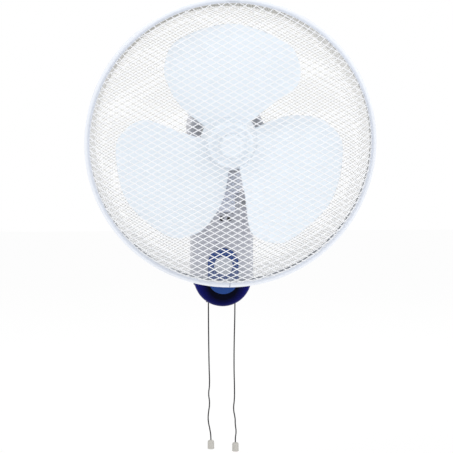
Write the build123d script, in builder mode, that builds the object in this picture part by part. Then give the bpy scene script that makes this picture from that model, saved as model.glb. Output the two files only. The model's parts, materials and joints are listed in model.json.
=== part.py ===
from build123d import *
import math

# Wall mounted fan, millimetres. The wall is the plane y = 0, +Z is up, the fan faces -Y.
# The origin is the centre of the wall plate's back.

# ---------------------------------------------------------------- driving dimensions
# fits
seam = 0.3            # gap between two mouldings that meet
running = 0.05        # radial clearance of a pin or shaft in its hole
screw_play = 0.1      # radial clearance of a screw in its hole
moving_gap = 0.3      # gap between faces that slide past each other
end_play = 1.0        # play along the shaft at its bearings, hub and spinner

# wall plate and its four screws
plate_width = 76.0
plate_height = 104.0
plate_thickness = 2.0
plate_corner = 8.0
wall_screw_radius = 2.6
wall_screws_across = 50.0
wall_screws_up = 76.0
hook_width = 12.0
hook_height = 8.0
hook_spacing = 30.0
hook_level = 12.0

# base
base_width = 100.0
base_top = 88.0
base_depth = 88.0
base_corner = 22.0
base_round = 12.0
rear_depth = 40.0
wall_gap = 0.5
shell = 2.5
split_level = -58.0
cap_radius = 47.2
cap_level = -54.8
cap_tab_width = 14.0
cap_tab_height = 9.0
base_screw_radius = 1.6
base_screw_across = 74.0
base_screw_top = 52.0
base_screw_bottom = -44.0
boss_wall = 2.4
screw_head_height = 2.2

# front panel and its plain disc
panel_width = 50.0
panel_height = 75.0
panel_level = -43.0
panel_thickness = 3.0
panel_round = 1.4
disc_radius = 15.0
disc_level = -33.8
disc_thickness = 1.4

# support arm and tilt joint
pivot_y = -135.0
pivot_z = 70.0
rest_tilt = 8.0
arm_width = 50.0
ear_radius = 18.0
ear_thickness = 9.8
arm_foot = 4.0
arm_toe_y = -128.0
arm_toe_z = 9.0
arm_back_slope = 26.6
arm_edge = 6.0
fork_relief = 1.5
arm_screw_radius = 2.0
arm_screw_spacing = 12.6
arm_screw_level = 46.0
arm_screw_grip = 12.0
arm_nut_height = 4.0
screw_slot = 0.9
tilt_bolt_radius = 4.0
washer_thickness = 1.4
washer_radius = 9.0
bolt_head_radius = 7.5
bolt_head_height = 4.5
bolt_end = 1.6

# neck and swing pivot
tongue_radius = 17.0
turret_radius = 23.0
turret_bottom = 19.0
turret_top = 24.0
pivot_radius = 6.0
pivot_seat = 12.0
pivot_washer_radius = 16.0
pivot_washer_thickness = 1.2
column_half = 13.0
lever_rise = 2.0
lever_spigot = 4.0
swing_limit = 45.0

# swing drive: crank, link and anchor lever
anchor_radius = 14.0
anchor_pin_radius = 2.5
crank_back = 38.0
crank_pin_radius = 2.2
crank_disc_radius = 13.0
crank_plate = 3.0
link_thickness = 2.5
link_width = 7.0
link_rim = 2.6
link_play = 1.5
swing_motor_radius = 19.0
swing_motor_height = 12.0
swing_motor_shaft = 2.5

# swing housing under the motor
pod_radius = 29.0
pod_length = 60.0
pod_screw_radius = 1.5
pod_screw_inset = 6.5
pod_screw_side = 23.0
pod_screw_back = 26.0
pod_boss_depth = 6.0
pod_column_wall = 1.6
pod_corner = 10.0
pod_wall = 2.2
pod_floor = 3.0
bush_wall = 1.5
pivot_boss_wall = 4.5
pivot_boss_height = 12.5
clip_thickness = 1.4
clip_rim = 3.0

# motor
axis_rise = 113.0
ring_reach = 115.0
motor_radius = 60.0
motor_front = -80.0
motor_split = -130.0
motor_rear = -185.0
motor_shoulder = 6.0
motor_tail_round = 10.0
guard_seat = -72.0
collar_radius = 19.8
collar_front = -61.0
seat_radius = 26.0
shaft_radius = 4.0
bearing_wall = 3.0
bearing_length = 24.0
bearing_boss = 4.0
front_bearing_reach = 16.0
stator_radius = 44.0
stator_bore = 24.0
stator_front = -96.0
stator_back = -122.0
air_gap = 0.6
coil_count = 8
coil_inner = 28.0
coil_outer = 40.0
coil_reach = 9.0
motor_screw_radius = 1.8
motor_screw_circle = 50.0
motor_screw_head = 3.4
motor_screw_length = 62.0
motor_screw_pocket = 13.0
motor_pocket_wall = 1.0
stator_cup = 2.5
slot_width = 7.0
slot_depth = 10.0
vent_count = 24
vent_width = 3.0
vent_inner = 18.0
vent_outer = 40.0

# fan blade, hub and spinner
blade_count = 3
hub_radius = 35.0
hub_skirt = 44.5      # radius at the hub's back, which it flares out to
hub_front = 10.0
hub_back = -30.0
hub_wall = 3.0
hub_tube_wall = 5.0
leaf_thickness = 2.2
leaf_middle = -8.0
leaf_camber = 7.0
drive_pin_radius = 1.5
drive_pin_length = 22.0
drive_pin_ahead = -24.0
spinner_radius = 19.0
spinner_front = 25.0
spinner_thread = 3.0
spinner_grooves = 12
spinner_groove = 2.0
spinner_round = 5.0

# guards and ring
ring_radius = 220.0
ring_band = 2.7
ring_half_depth = 9.0
ring_bead = 4.0       # width of the ring's flat face, outside its sloping lip
ring_lip = 7.5
ring_lip_thickness = 2.0
ring_lip_edge = 1.0
rim_play = 0.3
guard_sheet = 1.6
dome_height = 48.0
dome_flat_radius = 188.0
dome_shoulder = 36.0
basket_flat_radius = 184.0
basket_wall_radius = 205.0
basket_wall_depth = -50.0
basket_shoulder = -69.0
basket_bulge = 2.6
wall_share = 0.25     # share of the sheet's thickness seen along the axis at the steep wall
corner_share = 0.7    # the same at the corner below it
wall_slot_depth = 40.0
wall_slot_length = 34.0
net_edge_radius = 206.0
basket_net_radius = 197.0
centre_plate_radius = 40.0
strand_angle = 28.9
strand_spacing = 28.0
strand_width = 2.8
wall_slots = 36
wall_slot_width = 26.0
guard_nut_radius = 31.0
guard_nut_depth = 9.0
guard_nut_notches = 16
lug_thickness = 5.0
lug_height = 6.4
lug_depth = 10.0
lug_gap = 1.0
ring_screw_radius = 1.5
ring_edge = 1.5
clip_sheet = 1.2
clip_drop = 6.0
clip_width = 12.0

# pull switches, cords and knobs
cord_across = 22.0
cord_depth = 50.0
cord_radius = 1.0
cord_top = -70.0
guide_bore = 1.8
guide_radius = 4.0
guide_foot = -98.0
guide_flange = 6.0
guide_flange_level = -88.5
spool_radius = 8.0
spool_thickness = 4.0
spool_pin = 2.0
spool_pin_length = 8.0
case_width = 21.0
case_height = 22.0
case_chamfer = 1.5
bracket_depth = 20.0
bracket_thickness = 2.5
bracket_width = 56.0
bracket_top = -26.0
bracket_bottom = -84.0
bracket_screw_length = 9.0
capacitor_width = 40.0
capacitor_height = 24.0
capacitor_depth = 17.0
capacitor_level = 50.0
terminal_width = 34.0
terminal_height = 12.0
terminal_depth = 11.0
terminal_level = -6.0
knob_radius = 5.6
knob_height = 15.0
knob_flutes = 12
knob_flute = 0.9
knob_crown = 1.6
knob_foot = 0.8
knob_notch = 3.0
knob_gap = 0.2
gland_radius = 6.5
gland_bore = 3.5
gland_depth = 22.0
gland_reach = 4.0

# ---------------------------------------------------------------- places worked out from them
tilt = math.radians(rest_tilt)
across = Vector(1, 0, 0)
forward = Vector(0, -math.cos(tilt), -math.sin(tilt))
upward = Vector(0, -math.sin(tilt), math.cos(tilt))
pivot = Vector(0, pivot_y, pivot_z)
ring_centre = pivot + upward * axis_rise + forward * ring_reach
fan_axis = Axis(ring_centre, forward)
side_plane = Plane(origin=ring_centre, x_dir=forward, z_dir=-across)
arm_half = arm_width / 2
slot_half = arm_half - ear_thickness
floor_back = plate_thickness + seam
floor_front = floor_back + shell
case_side = cord_across - cord_radius - moving_gap - spool_radius


def facing(ahead):
    """Plane square to the fan's axis, this far ahead of the ring, looking out at the room."""
    return Plane(origin=ring_centre + forward * ahead, x_dir=across, z_dir=forward)


def deck(height, sideways=0.0, back=0.0):
    """Plane square to the swing axis, this high above the tilt pivot, local Y pointing back."""
    return Plane(
        origin=pivot + upward * height - forward * back + across * sideways,
        x_dir=across,
        z_dir=upward,
    )


def wall_at(depth):
    """Plane parallel to the wall, this far out from it, looking out at the room."""
    return Plane.XZ.offset(depth)


def turned_face(*corners, rounds=()):
    """Closed face of (ahead, radius) corners in the plane that holds the fan's axis."""
    with BuildSketch(side_plane) as face:
        with BuildLine():
            Polyline(*corners, close=True)
        make_face()
        for corner, radius in rounds:
            fillet(face.vertices().sort_by_distance(corner)[0], radius)
    return face.sketch


def upper_outline(depth, inset, foot=0.0):
    """The base's outline above the split, drawn in by inset and reaching foot below the split."""
    top = base_top - inset
    bottom = split_level - foot
    with BuildSketch(wall_at(depth)) as outline:
        with Locations((0, (top + bottom) / 2)):
            Rectangle(base_width - 2 * inset, top - bottom)
        fillet(outline.vertices().group_by(Axis.Y)[-1], base_corner - inset)
    return outline.sketch


def cap_outline(depth, inset, rise=0.0):
    """The lower cap's outline, drawn in by inset and reaching rise above the split."""
    top = split_level - seam + rise
    with BuildSketch(wall_at(depth)) as outline:
        with Locations((0, cap_level)):
            Circle(cap_radius - inset)
        with Locations((0, top)):
            Rectangle(
                4 * cap_radius, 4 * cap_radius, align=(Align.CENTER, Align.MIN), mode=Mode.SUBTRACT
            )
    return outline.sketch


def pod_outline(height, inset):
    """The swing housing's outline in plan: round in front, square with round corners behind."""
    with BuildSketch(deck(height)) as outline:
        Rectangle(2 * (pod_radius - inset), pod_length - inset, align=(Align.CENTER, Align.MIN))
        fillet(outline.vertices().group_by(Axis.Y)[-1], pod_corner - inset)
        Circle(pod_radius - inset)
    return outline.sketch


def strand_net(plane, net_radius, centre_disc):
    """Crossed strands of the guard's diamond mesh, with the solid rim and centre that hold them."""
    rows = int(net_radius // strand_spacing)
    with BuildSketch(plane) as net:
        Circle(ring_radius)
        Circle(net_radius, mode=Mode.SUBTRACT)
        if centre_disc:
            Circle(centre_disc)
        for turn in (strand_angle, -strand_angle):
            for row in range(-rows, rows + 1):
                aside = row * strand_spacing
                reach = 2 * math.sqrt(net_radius**2 - aside**2) + strand_width
                spot = (-aside * math.sin(math.radians(turn)), aside * math.cos(math.radians(turn)))
                with Locations(spot):
                    Rectangle(reach, strand_width, rotation=turn)
    return net.sketch


base_screw_spots = [
    (side * base_screw_across / 2, level)
    for side in (-1, 1)
    for level in (base_screw_bottom, base_screw_top)
]
boss_radius = base_screw_radius + screw_play + boss_wall
bracket_screw_spots = [(side * cord_across, bracket_top - boss_radius) for side in (-1, 1)]

# ---------------------------------------------------------------- wall plate
hook_base = floor_front + seam
with BuildPart() as wall_plate:
    with BuildSketch(wall_at(0)):
        RectangleRounded(plate_width, plate_height, plate_corner)
        with GridLocations(wall_screws_across, wall_screws_up, 2, 2):
            Circle(wall_screw_radius, mode=Mode.SUBTRACT)
        with Locations((0, base_screw_bottom)):
            Circle(base_screw_radius + running, mode=Mode.SUBTRACT)
    extrude(amount=plate_thickness)
    # two hooks that carry the base: a foot through the floor and a lip that points up
    for side in (-1, 1):
        with BuildSketch(wall_at(plate_thickness)):
            with Locations((side * hook_spacing / 2, hook_level)):
                Rectangle(hook_width, plate_thickness)
        extrude(amount=hook_base - plate_thickness)
        with BuildSketch(wall_at(hook_base)):
            with Locations((side * hook_spacing / 2, hook_level - plate_thickness / 2)):
                Rectangle(hook_width, hook_height, align=(Align.CENTER, Align.MIN))
        extrude(amount=plate_thickness)
wall_plate.part.label = "wall_plate"
export_step(wall_plate.part, "parts/wall_plate.step")

# ---------------------------------------------------------------- base rear housing
with BuildPart() as base_rear_housing:
    extrude(upper_outline(wall_gap, 0), amount=rear_depth - wall_gap)
    extrude(upper_outline(floor_front, shell, shell), amount=rear_depth, mode=Mode.SUBTRACT)
    # pocket for the wall plate
    with BuildSketch(wall_at(0)):
        Rectangle(plate_width + 2 * seam, plate_height + 2 * seam)
    extrude(amount=floor_back, mode=Mode.SUBTRACT)
    # bosses that take the cover's screws, and posts under the switch bracket
    with BuildSketch(wall_at(floor_front)):
        with Locations(*base_screw_spots):
            Circle(boss_radius)
    extrude(amount=rear_depth - floor_front)
    with BuildSketch(wall_at(floor_front)):
        with Locations(*bracket_screw_spots):
            Circle(boss_radius)
    extrude(amount=bracket_depth - floor_front)
    with BuildSketch(wall_at(bracket_depth - bracket_screw_length)):
        with Locations(*bracket_screw_spots):
            Circle(base_screw_radius + running)
    extrude(amount=bracket_screw_length, mode=Mode.SUBTRACT)
    with BuildSketch(wall_at(0)):
        with Locations(*base_screw_spots):
            Circle(base_screw_radius + screw_play)
        for side in (-1, 1):
            with Locations((side * hook_spacing / 2, hook_level - plate_thickness - seam)):
                Rectangle(
                    hook_width + 2 * seam,
                    hook_height + plate_thickness + 2 * seam,
                    align=(Align.CENTER, Align.MIN),
                )
        with Locations((0, base_screw_bottom)):
            Circle(base_screw_radius + running)
    extrude(amount=rear_depth, mode=Mode.SUBTRACT)
base_rear_housing.part.label = "base_rear_housing"
export_step(base_rear_housing.part, "parts/base_rear_housing.step")

# ---------------------------------------------------------------- base front cover
cover_back = rear_depth + seam
cover_inside = base_depth - shell
arm_screw_spots = [(-arm_screw_spacing / 2, arm_screw_level), (arm_screw_spacing / 2, arm_screw_level)]
with BuildPart() as cover_space:
    extrude(upper_outline(0, shell, shell), amount=cover_inside)
    space_edges = cover_space.faces().sort_by(Axis.Y)[0].edges().sort_by(Axis.Z)[1:]
    fillet(space_edges, base_round - shell)

with BuildPart() as base_front_cover:
    extrude(upper_outline(cover_back, 0), amount=base_depth - cover_back)
    front_edges = base_front_cover.faces().sort_by(Axis.Y)[0].edges().sort_by(Axis.Z)[1:]
    fillet(front_edges, base_round)
    add(cover_space.part, mode=Mode.SUBTRACT)
    with BuildSketch(wall_at(cover_back)):
        with Locations(*base_screw_spots):
            Circle(boss_radius)
    extrude(amount=cover_inside - cover_back)
    with BuildSketch(wall_at(cover_back)):
        with Locations(*base_screw_spots):
            Circle(base_screw_radius + running)
    extrude(amount=cover_inside - cover_back - boss_wall, mode=Mode.SUBTRACT)
    with BuildSketch(wall_at(cover_inside)):
        with Locations(*arm_screw_spots):
            Circle(arm_screw_radius + running)
    extrude(amount=base_depth, mode=Mode.SUBTRACT)
base_front_cover.part.label = "base_front_cover"
export_step(base_front_cover.part, "parts/base_front_cover.step")

# ---------------------------------------------------------------- lower cap
cap_rim_half = math.sqrt(cap_radius**2 - (split_level - seam - cap_level) ** 2)
cap_bottom = cap_level - cap_radius
tab_thickness = cap_rim_half - (base_width / 2 - shell - seam) + shell
with BuildPart() as cap_space:
    extrude(cap_outline(wall_gap + shell, shell, shell), amount=base_depth - wall_gap - 2 * shell)
    fillet(cap_space.faces().sort_by(Axis.Y)[0].edges().filter_by(GeomType.CIRCLE), base_round - shell)

with BuildPart() as lower_cap:
    extrude(cap_outline(wall_gap, 0), amount=base_depth - wall_gap)
    fillet(lower_cap.faces().sort_by(Axis.Y)[0].edges().filter_by(GeomType.CIRCLE), base_round)
    add(cap_space.part, mode=Mode.SUBTRACT)
    # tabs that spring into the housings above
    for side in (-1, 1):
        for depth in (rear_depth / 2, (cover_back + cover_inside) / 2):
            with BuildSketch(Plane.XY.offset(split_level - cap_tab_height)):
                with Locations((side * (cap_rim_half - shell / 2), -depth)):
                    Rectangle(shell - seam, cap_tab_width)
            extrude(amount=2 * cap_tab_height)
    # holes for the cord guides and the mains gland
    with BuildSketch(Plane.XY.offset(cap_bottom - shell)):
        with Locations((-cord_across, -cord_depth), (cord_across, -cord_depth)):
            Circle(guide_radius + running)
        with Locations((0, -gland_depth)):
            Circle(gland_radius + running)
    extrude(amount=guide_flange_level - cap_bottom + shell, mode=Mode.SUBTRACT)
lower_cap.part.label = "lower_cap"
export_step(lower_cap.part, "parts/lower_cap.step")

# ---------------------------------------------------------------- front panel and disc
with BuildPart() as front_panel:
    with BuildSketch(wall_at(base_depth)):
        with Locations((0, panel_level)):
            SlotOverall(panel_height, panel_width, rotation=90)
    extrude(amount=panel_thickness)
    fillet(front_panel.faces().sort_by(Axis.Y)[0].edges(), panel_round)
front_panel.part.label = "front_panel"
export_step(front_panel.part, "parts/front_panel.step")

with BuildPart() as badge_disc:
    with BuildSketch(wall_at(base_depth + panel_thickness)):
        with Locations((0, disc_level)):
            Circle(disc_radius)
    extrude(amount=disc_thickness)
    fillet(badge_disc.faces().sort_by(Axis.Y)[0].edges(), disc_thickness / 2)
badge_disc.part.label = "badge_disc"
export_step(badge_disc.part, "parts/badge_disc.step")

# ---------------------------------------------------------------- base screws and plate screw
with BuildPart() as base_screws:
    for spot in base_screw_spots:
        with BuildSketch(wall_at(plate_thickness + seam)):
            with Locations(spot):
                Circle(base_screw_radius)
        extrude(amount=cover_inside - boss_wall - 2 * seam - plate_thickness)
base_screws.part.label = "base_screws"
export_step(base_screws.part, "parts/base_screws.step")

with BuildPart() as plate_screw:
    with BuildSketch(wall_at(wall_gap)):
        with Locations((0, base_screw_bottom)):
            Circle(base_screw_radius)
    extrude(amount=floor_front - wall_gap)
    with BuildSketch(wall_at(floor_front)):
        with Locations((0, base_screw_bottom)):
            Circle(2 * base_screw_radius)
    extrude(amount=screw_head_height)
plate_screw.part.label = "plate_screw"
export_step(plate_screw.part, "parts/plate_screw.step")

# ---------------------------------------------------------------- cord guides and mains gland
with BuildPart() as cord_guides:
    for side in (-1, 1):
        with BuildSketch(Plane.XY.offset(guide_foot)):
            with Locations((side * cord_across, -cord_depth)):
                Circle(guide_radius)
        extrude(amount=guide_flange_level - guide_foot)
        with BuildSketch(Plane.XY.offset(guide_flange_level)):
            with Locations((side * cord_across, -cord_depth)):
                Circle(guide_flange)
        extrude(amount=shell)
        with BuildSketch(Plane.XY.offset(guide_foot)):
            with Locations((side * cord_across, -cord_depth)):
                Circle(guide_bore)
        extrude(amount=guide_flange_level - guide_foot + shell, mode=Mode.SUBTRACT)
cord_guides.part.label = "cord_guides"
export_step(cord_guides.part, "parts/cord_guides.step")

with BuildPart() as mains_gland:
    with BuildSketch(Plane.XY.offset(cap_bottom - gland_reach)):
        with Locations((0, -gland_depth)):
            Circle(gland_radius)
    extrude(amount=gland_reach + 2 * shell)
    with BuildSketch(Plane.XY.offset(cap_bottom + 2 * shell)):
        with Locations((0, -gland_depth)):
            Circle(gland_radius + shell)
    extrude(amount=shell)
    with BuildSketch(Plane.XY.offset(cap_bottom - gland_reach)):
        with Locations((0, -gland_depth)):
            Circle(gland_bore)
    extrude(amount=gland_reach + 3 * shell, mode=Mode.SUBTRACT)
mains_gland.part.label = "mains_gland"
export_step(mains_gland.part, "parts/mains_gland.step")

# ---------------------------------------------------------------- switch bracket, cases, spools
spool_back = cord_depth - spool_thickness / 2
case_front = spool_back - moving_gap
bracket_front = bracket_depth + bracket_thickness
with BuildPart() as switch_bracket:
    with BuildSketch(wall_at(bracket_depth)):
        with Locations((0, bracket_bottom)):
            Rectangle(bracket_width, bracket_top - bracket_bottom, align=(Align.CENTER, Align.MIN))
        with Locations(*bracket_screw_spots):
            Circle(base_screw_radius + screw_play, mode=Mode.SUBTRACT)
    extrude(amount=bracket_thickness)
switch_bracket.part.label = "switch_bracket"
export_step(switch_bracket.part, "parts/switch_bracket.step")

with BuildPart() as bracket_screws:
    with BuildSketch(wall_at(bracket_depth - bracket_screw_length + seam)):
        with Locations(*bracket_screw_spots):
            Circle(base_screw_radius)
    extrude(amount=bracket_screw_length + bracket_thickness - seam)
    with BuildSketch(wall_at(bracket_front)):
        with Locations(*bracket_screw_spots):
            Circle(2 * base_screw_radius)
    extrude(amount=screw_head_height)
bracket_screws.part.label = "bracket_screws"
export_step(bracket_screws.part, "parts/bracket_screws.step")

for name, side in (("speed", -1), ("swing", 1)):
    with BuildPart() as switch_case:
        with BuildSketch(wall_at(bracket_front)):
            with Locations((side * case_side, cord_top)):
                Rectangle(case_width, case_height)
        extrude(amount=case_front - bracket_front)
        with BuildSketch(wall_at(case_front - spool_pin_length)):
            with Locations((side * case_side, cord_top)):
                Circle(spool_pin + running)
        extrude(amount=spool_pin_length, mode=Mode.SUBTRACT)
        chamfer(switch_case.edges().filter_by(Axis.Y), case_chamfer)
    switch_case.part.label = name + "_switch_case"
    export_step(switch_case.part, "parts/" + name + "_switch_case.step")

    with BuildPart() as spool:
        with BuildSketch(wall_at(spool_back)):
            with Locations((side * case_side, cord_top)):
                Circle(spool_radius)
        extrude(amount=spool_thickness)
        with BuildSketch(wall_at(case_front - spool_pin_length + seam)):
            with Locations((side * case_side, cord_top)):
                Circle(spool_pin)
        extrude(amount=spool_pin_length + moving_gap)
        chamfer(spool.faces().sort_by(Axis.Y)[0].edges(), case_chamfer / 2)
    spool.part.label = name + "_spool"
    export_step(spool.part, "parts/" + name + "_spool.step")

# ---------------------------------------------------------------- capacitor and terminal block
with BuildPart() as run_capacitor:
    with BuildSketch(wall_at(floor_front)):
        with Locations((0, capacitor_level)):
            Rectangle(capacitor_width, capacitor_height)
    extrude(amount=capacitor_depth)
    fillet(run_capacitor.edges().filter_by(Axis.Y), case_chamfer)
run_capacitor.part.label = "run_capacitor"
export_step(run_capacitor.part, "parts/run_capacitor.step")

with BuildPart() as terminal_block:
    with BuildSketch(wall_at(floor_front)):
        with Locations((0, terminal_level)):
            Rectangle(terminal_width, terminal_height)
    extrude(amount=terminal_depth)
    with BuildSketch(wall_at(floor_front + terminal_depth / 2)):
        with Locations((0, terminal_level)):
            with GridLocations(terminal_width / 4, 1, 4, 1):
                Circle(base_screw_radius)
    extrude(amount=terminal_depth, mode=Mode.SUBTRACT)
terminal_block.part.label = "terminal_block"
export_step(terminal_block.part, "parts/terminal_block.step")

# ---------------------------------------------------------------- support arm with its fork
slope = math.radians(arm_back_slope)
ear_tangent_y = pivot_y + ear_radius * math.sin(slope)
ear_tangent_z = pivot_z + ear_radius * math.cos(slope)
arm_back_y = -base_depth
arm_back_z = ear_tangent_z - (arm_back_y - ear_tangent_y) * math.tan(slope)
arm_front_y = pivot_y - ear_radius
slot_radius = ear_radius + fork_relief
with BuildPart() as support_arm:
    with BuildSketch(Plane.YZ):
        with BuildLine():
            Polyline(
                (arm_front_y, pivot_z),
                (arm_toe_y, arm_toe_z),
                (arm_back_y, arm_foot),
                (arm_back_y, arm_back_z),
                (ear_tangent_y, ear_tangent_z),
            )
            ThreePointArc(
                (ear_tangent_y, ear_tangent_z),
                (pivot_y - ear_radius * math.sin(slope), pivot_z + ear_radius * math.cos(slope)),
                (arm_front_y, pivot_z),
            )
        make_face()
    extrude(amount=arm_half, both=True)
    arm_sides = support_arm.faces().filter_by(Axis.X)
    rims = arm_sides.edges().filter_by(lambda e: e.center().Y < arm_back_y - arm_edge)
    fillet(rims, arm_edge)
    # fork slot round the tongue, open above
    with BuildSketch(Plane.YZ):
        with Locations((pivot_y, pivot_z)):
            Circle(slot_radius)
        with Locations((pivot_y - 2 * ear_radius, pivot_z)):
            Rectangle(2 * ear_radius + slot_radius, 3 * ear_radius, align=(Align.MIN, Align.MIN))
    extrude(amount=slot_half, both=True, mode=Mode.SUBTRACT)
    with BuildSketch(Plane.YZ):
        with Locations((pivot_y, pivot_z)):
            Circle(tilt_bolt_radius + screw_play)
    extrude(amount=arm_width, both=True, mode=Mode.SUBTRACT)
    # screws that hold the arm, seated deep in the sloping front
    with BuildSketch(wall_at(base_depth)):
        with Locations(*arm_screw_spots):
            Circle(arm_screw_radius + screw_play)
    extrude(amount=arm_width * 2, mode=Mode.SUBTRACT)
    with BuildSketch(wall_at(base_depth + arm_screw_grip)):
        with Locations(*arm_screw_spots):
            Circle(2 * arm_screw_radius + screw_play)
    extrude(amount=arm_width * 2, mode=Mode.SUBTRACT)
support_arm.part.label = "support_arm"
export_step(support_arm.part, "parts/support_arm.step")

with BuildPart() as arm_screws:
    for spot in arm_screw_spots:
        with BuildSketch(wall_at(cover_inside - arm_nut_height)):
            with Locations(spot):
                Circle(arm_screw_radius)
        extrude(amount=shell + arm_nut_height + arm_screw_grip)
        with BuildSketch(wall_at(base_depth + arm_screw_grip)):
            with Locations(spot):
                Circle(2 * arm_screw_radius)
        extrude(amount=screw_head_height)
        with BuildSketch(wall_at(base_depth + arm_screw_grip + screw_head_height / 2)):
            with Locations(spot):
                Rectangle(2 * arm_screw_radius, screw_slot)
                Rectangle(screw_slot, 2 * arm_screw_radius)
        extrude(amount=screw_head_height, mode=Mode.SUBTRACT)
arm_screws.part.label = "arm_screws"
export_step(arm_screws.part, "parts/arm_screws.step")

with BuildPart() as arm_nuts:
    for spot in arm_screw_spots:
        with BuildSketch(wall_at(cover_inside - arm_nut_height)):
            with Locations(spot):
                RegularPolygon(2 * arm_screw_radius, 6)
                Circle(arm_screw_radius + running, mode=Mode.SUBTRACT)
        extrude(amount=arm_nut_height)
arm_nuts.part.label = "arm_nuts"
export_step(arm_nuts.part, "parts/arm_nuts.step")

# ---------------------------------------------------------------- tilt bolt, washers and nut
washer_face = arm_half + washer_thickness
with BuildPart() as tilt_bolt:
    with BuildSketch(Plane.YZ.offset(-washer_face - bolt_head_height)):
        with Locations((pivot_y, pivot_z)):
            RegularPolygon(bolt_head_radius, 6)
    extrude(amount=bolt_head_height)
    with BuildSketch(Plane.YZ.offset(-washer_face)):
        with Locations((pivot_y, pivot_z)):
            Circle(tilt_bolt_radius)
    extrude(amount=2 * washer_face + bolt_head_height + bolt_end)
    chamfer(tilt_bolt.faces().sort_by(Axis.X)[-1].edges(), bolt_end / 2)
tilt_bolt.part.label = "tilt_bolt"
export_step(tilt_bolt.part, "parts/tilt_bolt.step")

with BuildPart() as tilt_washers:
    for face in (-washer_face, arm_half):
        with BuildSketch(Plane.YZ.offset(face)):
            with Locations((pivot_y, pivot_z)):
                Circle(washer_radius)
                Circle(tilt_bolt_radius + screw_play, mode=Mode.SUBTRACT)
        extrude(amount=washer_thickness)
tilt_washers.part.label = "tilt_washers"
export_step(tilt_washers.part, "parts/tilt_washers.step")

with BuildPart() as tilt_nut:
    with BuildSketch(Plane.YZ.offset(washer_face)):
        with Locations((pivot_y, pivot_z)):
            RegularPolygon(bolt_head_radius, 6)
            Circle(tilt_bolt_radius + running, mode=Mode.SUBTRACT)
    extrude(amount=bolt_head_height)
tilt_nut.part.label = "tilt_nut"
export_step(tilt_nut.part, "parts/tilt_nut.step")

# ---------------------------------------------------------------- neck: bracket, shaft, clip, lever
tongue_half = slot_half - moving_gap
floor_level = turret_top + pivot_washer_thickness + moving_gap
boss_top = floor_level + pivot_boss_height
clip_level = boss_top + moving_gap
lever_level = clip_level + clip_thickness + lever_rise
pin_top = lever_level + crank_plate + link_thickness + 2 * moving_gap + link_play
with BuildPart() as neck_bracket:
    with BuildSketch(Plane.YZ):
        with Locations((pivot_y, pivot_z)):
            Circle(tongue_radius)
    extrude(amount=tongue_half, both=True)
    with BuildSketch(deck(0)):
        Rectangle(2 * tongue_half, 2 * column_half)
    extrude(amount=turret_bottom)
    with BuildSketch(deck(turret_bottom)):
        Circle(turret_radius)
    extrude(amount=turret_top - turret_bottom)
    with BuildSketch(Plane.YZ):
        with Locations((pivot_y, pivot_z)):
            Circle(tilt_bolt_radius + running)
    extrude(amount=arm_width, both=True, mode=Mode.SUBTRACT)
    with BuildSketch(deck(turret_top - pivot_seat)):
        Circle(pivot_radius + running)
    extrude(amount=pivot_seat, mode=Mode.SUBTRACT)
neck_bracket.part.label = "neck_bracket"
export_step(neck_bracket.part, "parts/neck_bracket.step")

with BuildPart() as pivot_shaft:
    with BuildSketch(deck(turret_top - pivot_seat)):
        Circle(pivot_radius)
    extrude(amount=lever_level - turret_top + pivot_seat)
    with BuildSketch(deck(lever_level)):
        Circle(lever_spigot)
    extrude(amount=crank_plate)
pivot_shaft.part.label = "pivot_shaft"
export_step(pivot_shaft.part, "parts/pivot_shaft.step")

with BuildPart() as pivot_washer:
    with BuildSketch(deck(turret_top)):
        Circle(pivot_washer_radius)
        Circle(pivot_radius + screw_play, mode=Mode.SUBTRACT)
    extrude(amount=pivot_washer_thickness)
pivot_washer.part.label = "pivot_washer"
export_step(pivot_washer.part, "parts/pivot_washer.step")

with BuildPart() as pivot_clip:
    with BuildSketch(deck(clip_level)):
        Circle(pivot_radius + clip_rim)
        Circle(pivot_radius + running, mode=Mode.SUBTRACT)
        Rectangle(
            2 * clip_rim,
            2 * (pivot_radius + clip_rim),
            align=(Align.CENTER, Align.MIN),
            mode=Mode.SUBTRACT,
        )
    extrude(amount=clip_thickness)
pivot_clip.part.label = "pivot_clip"
export_step(pivot_clip.part, "parts/pivot_clip.step")

with BuildPart() as anchor_lever:
    with BuildSketch(deck(lever_level)):
        with Locations((anchor_radius / 2, 0)):
            SlotCenterToCenter(anchor_radius, 2 * (lever_spigot + clip_rim))
        Circle(lever_spigot + running, mode=Mode.SUBTRACT)
    extrude(amount=crank_plate)
    with BuildSketch(deck(lever_level + crank_plate, anchor_radius)):
        Circle(anchor_pin_radius)
    extrude(amount=pin_top - lever_level - crank_plate)
anchor_lever.part.label = "anchor_lever"
export_step(anchor_lever.part, "parts/anchor_lever.step")

# ---------------------------------------------------------------- swing crank and link
# the crank turns twice as far as the head, so its pin swings the head by the anchor lever
limit = math.radians(swing_limit)
crank_radius = anchor_radius * math.sin(limit)
eye_centre = (anchor_radius + anchor_radius * math.cos(limit) + crank_radius) / 2
misfit = 0.0
for step in range(-9, 10):
    head_turn = limit * step / 9
    crank_turn = 2 * head_turn
    off_x = anchor_radius * math.cos(head_turn) - eye_centre + crank_radius * (1 - math.cos(crank_turn))
    off_y = anchor_radius * math.sin(head_turn) - crank_radius * math.sin(crank_turn)
    misfit = max(misfit, math.hypot(off_x, off_y))
eye_bore = anchor_pin_radius + misfit + moving_gap
print("crank radius %.2f, eye centre %.2f, eye bore %.2f" % (crank_radius, eye_centre, eye_bore))

motor_shaft_top = lever_level + crank_plate
link_level = motor_shaft_top + moving_gap
with BuildPart() as swing_crank:
    with BuildSketch(deck(lever_level, 0, crank_back)):
        Circle(crank_disc_radius)
        Circle(swing_motor_shaft + running, mode=Mode.SUBTRACT)
    extrude(amount=crank_plate)
    with BuildSketch(deck(motor_shaft_top, crank_radius, crank_back)):
        Circle(crank_pin_radius)
    extrude(amount=pin_top - motor_shaft_top)
swing_crank.part.label = "swing_crank"
export_step(swing_crank.part, "parts/swing_crank.step")

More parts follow.
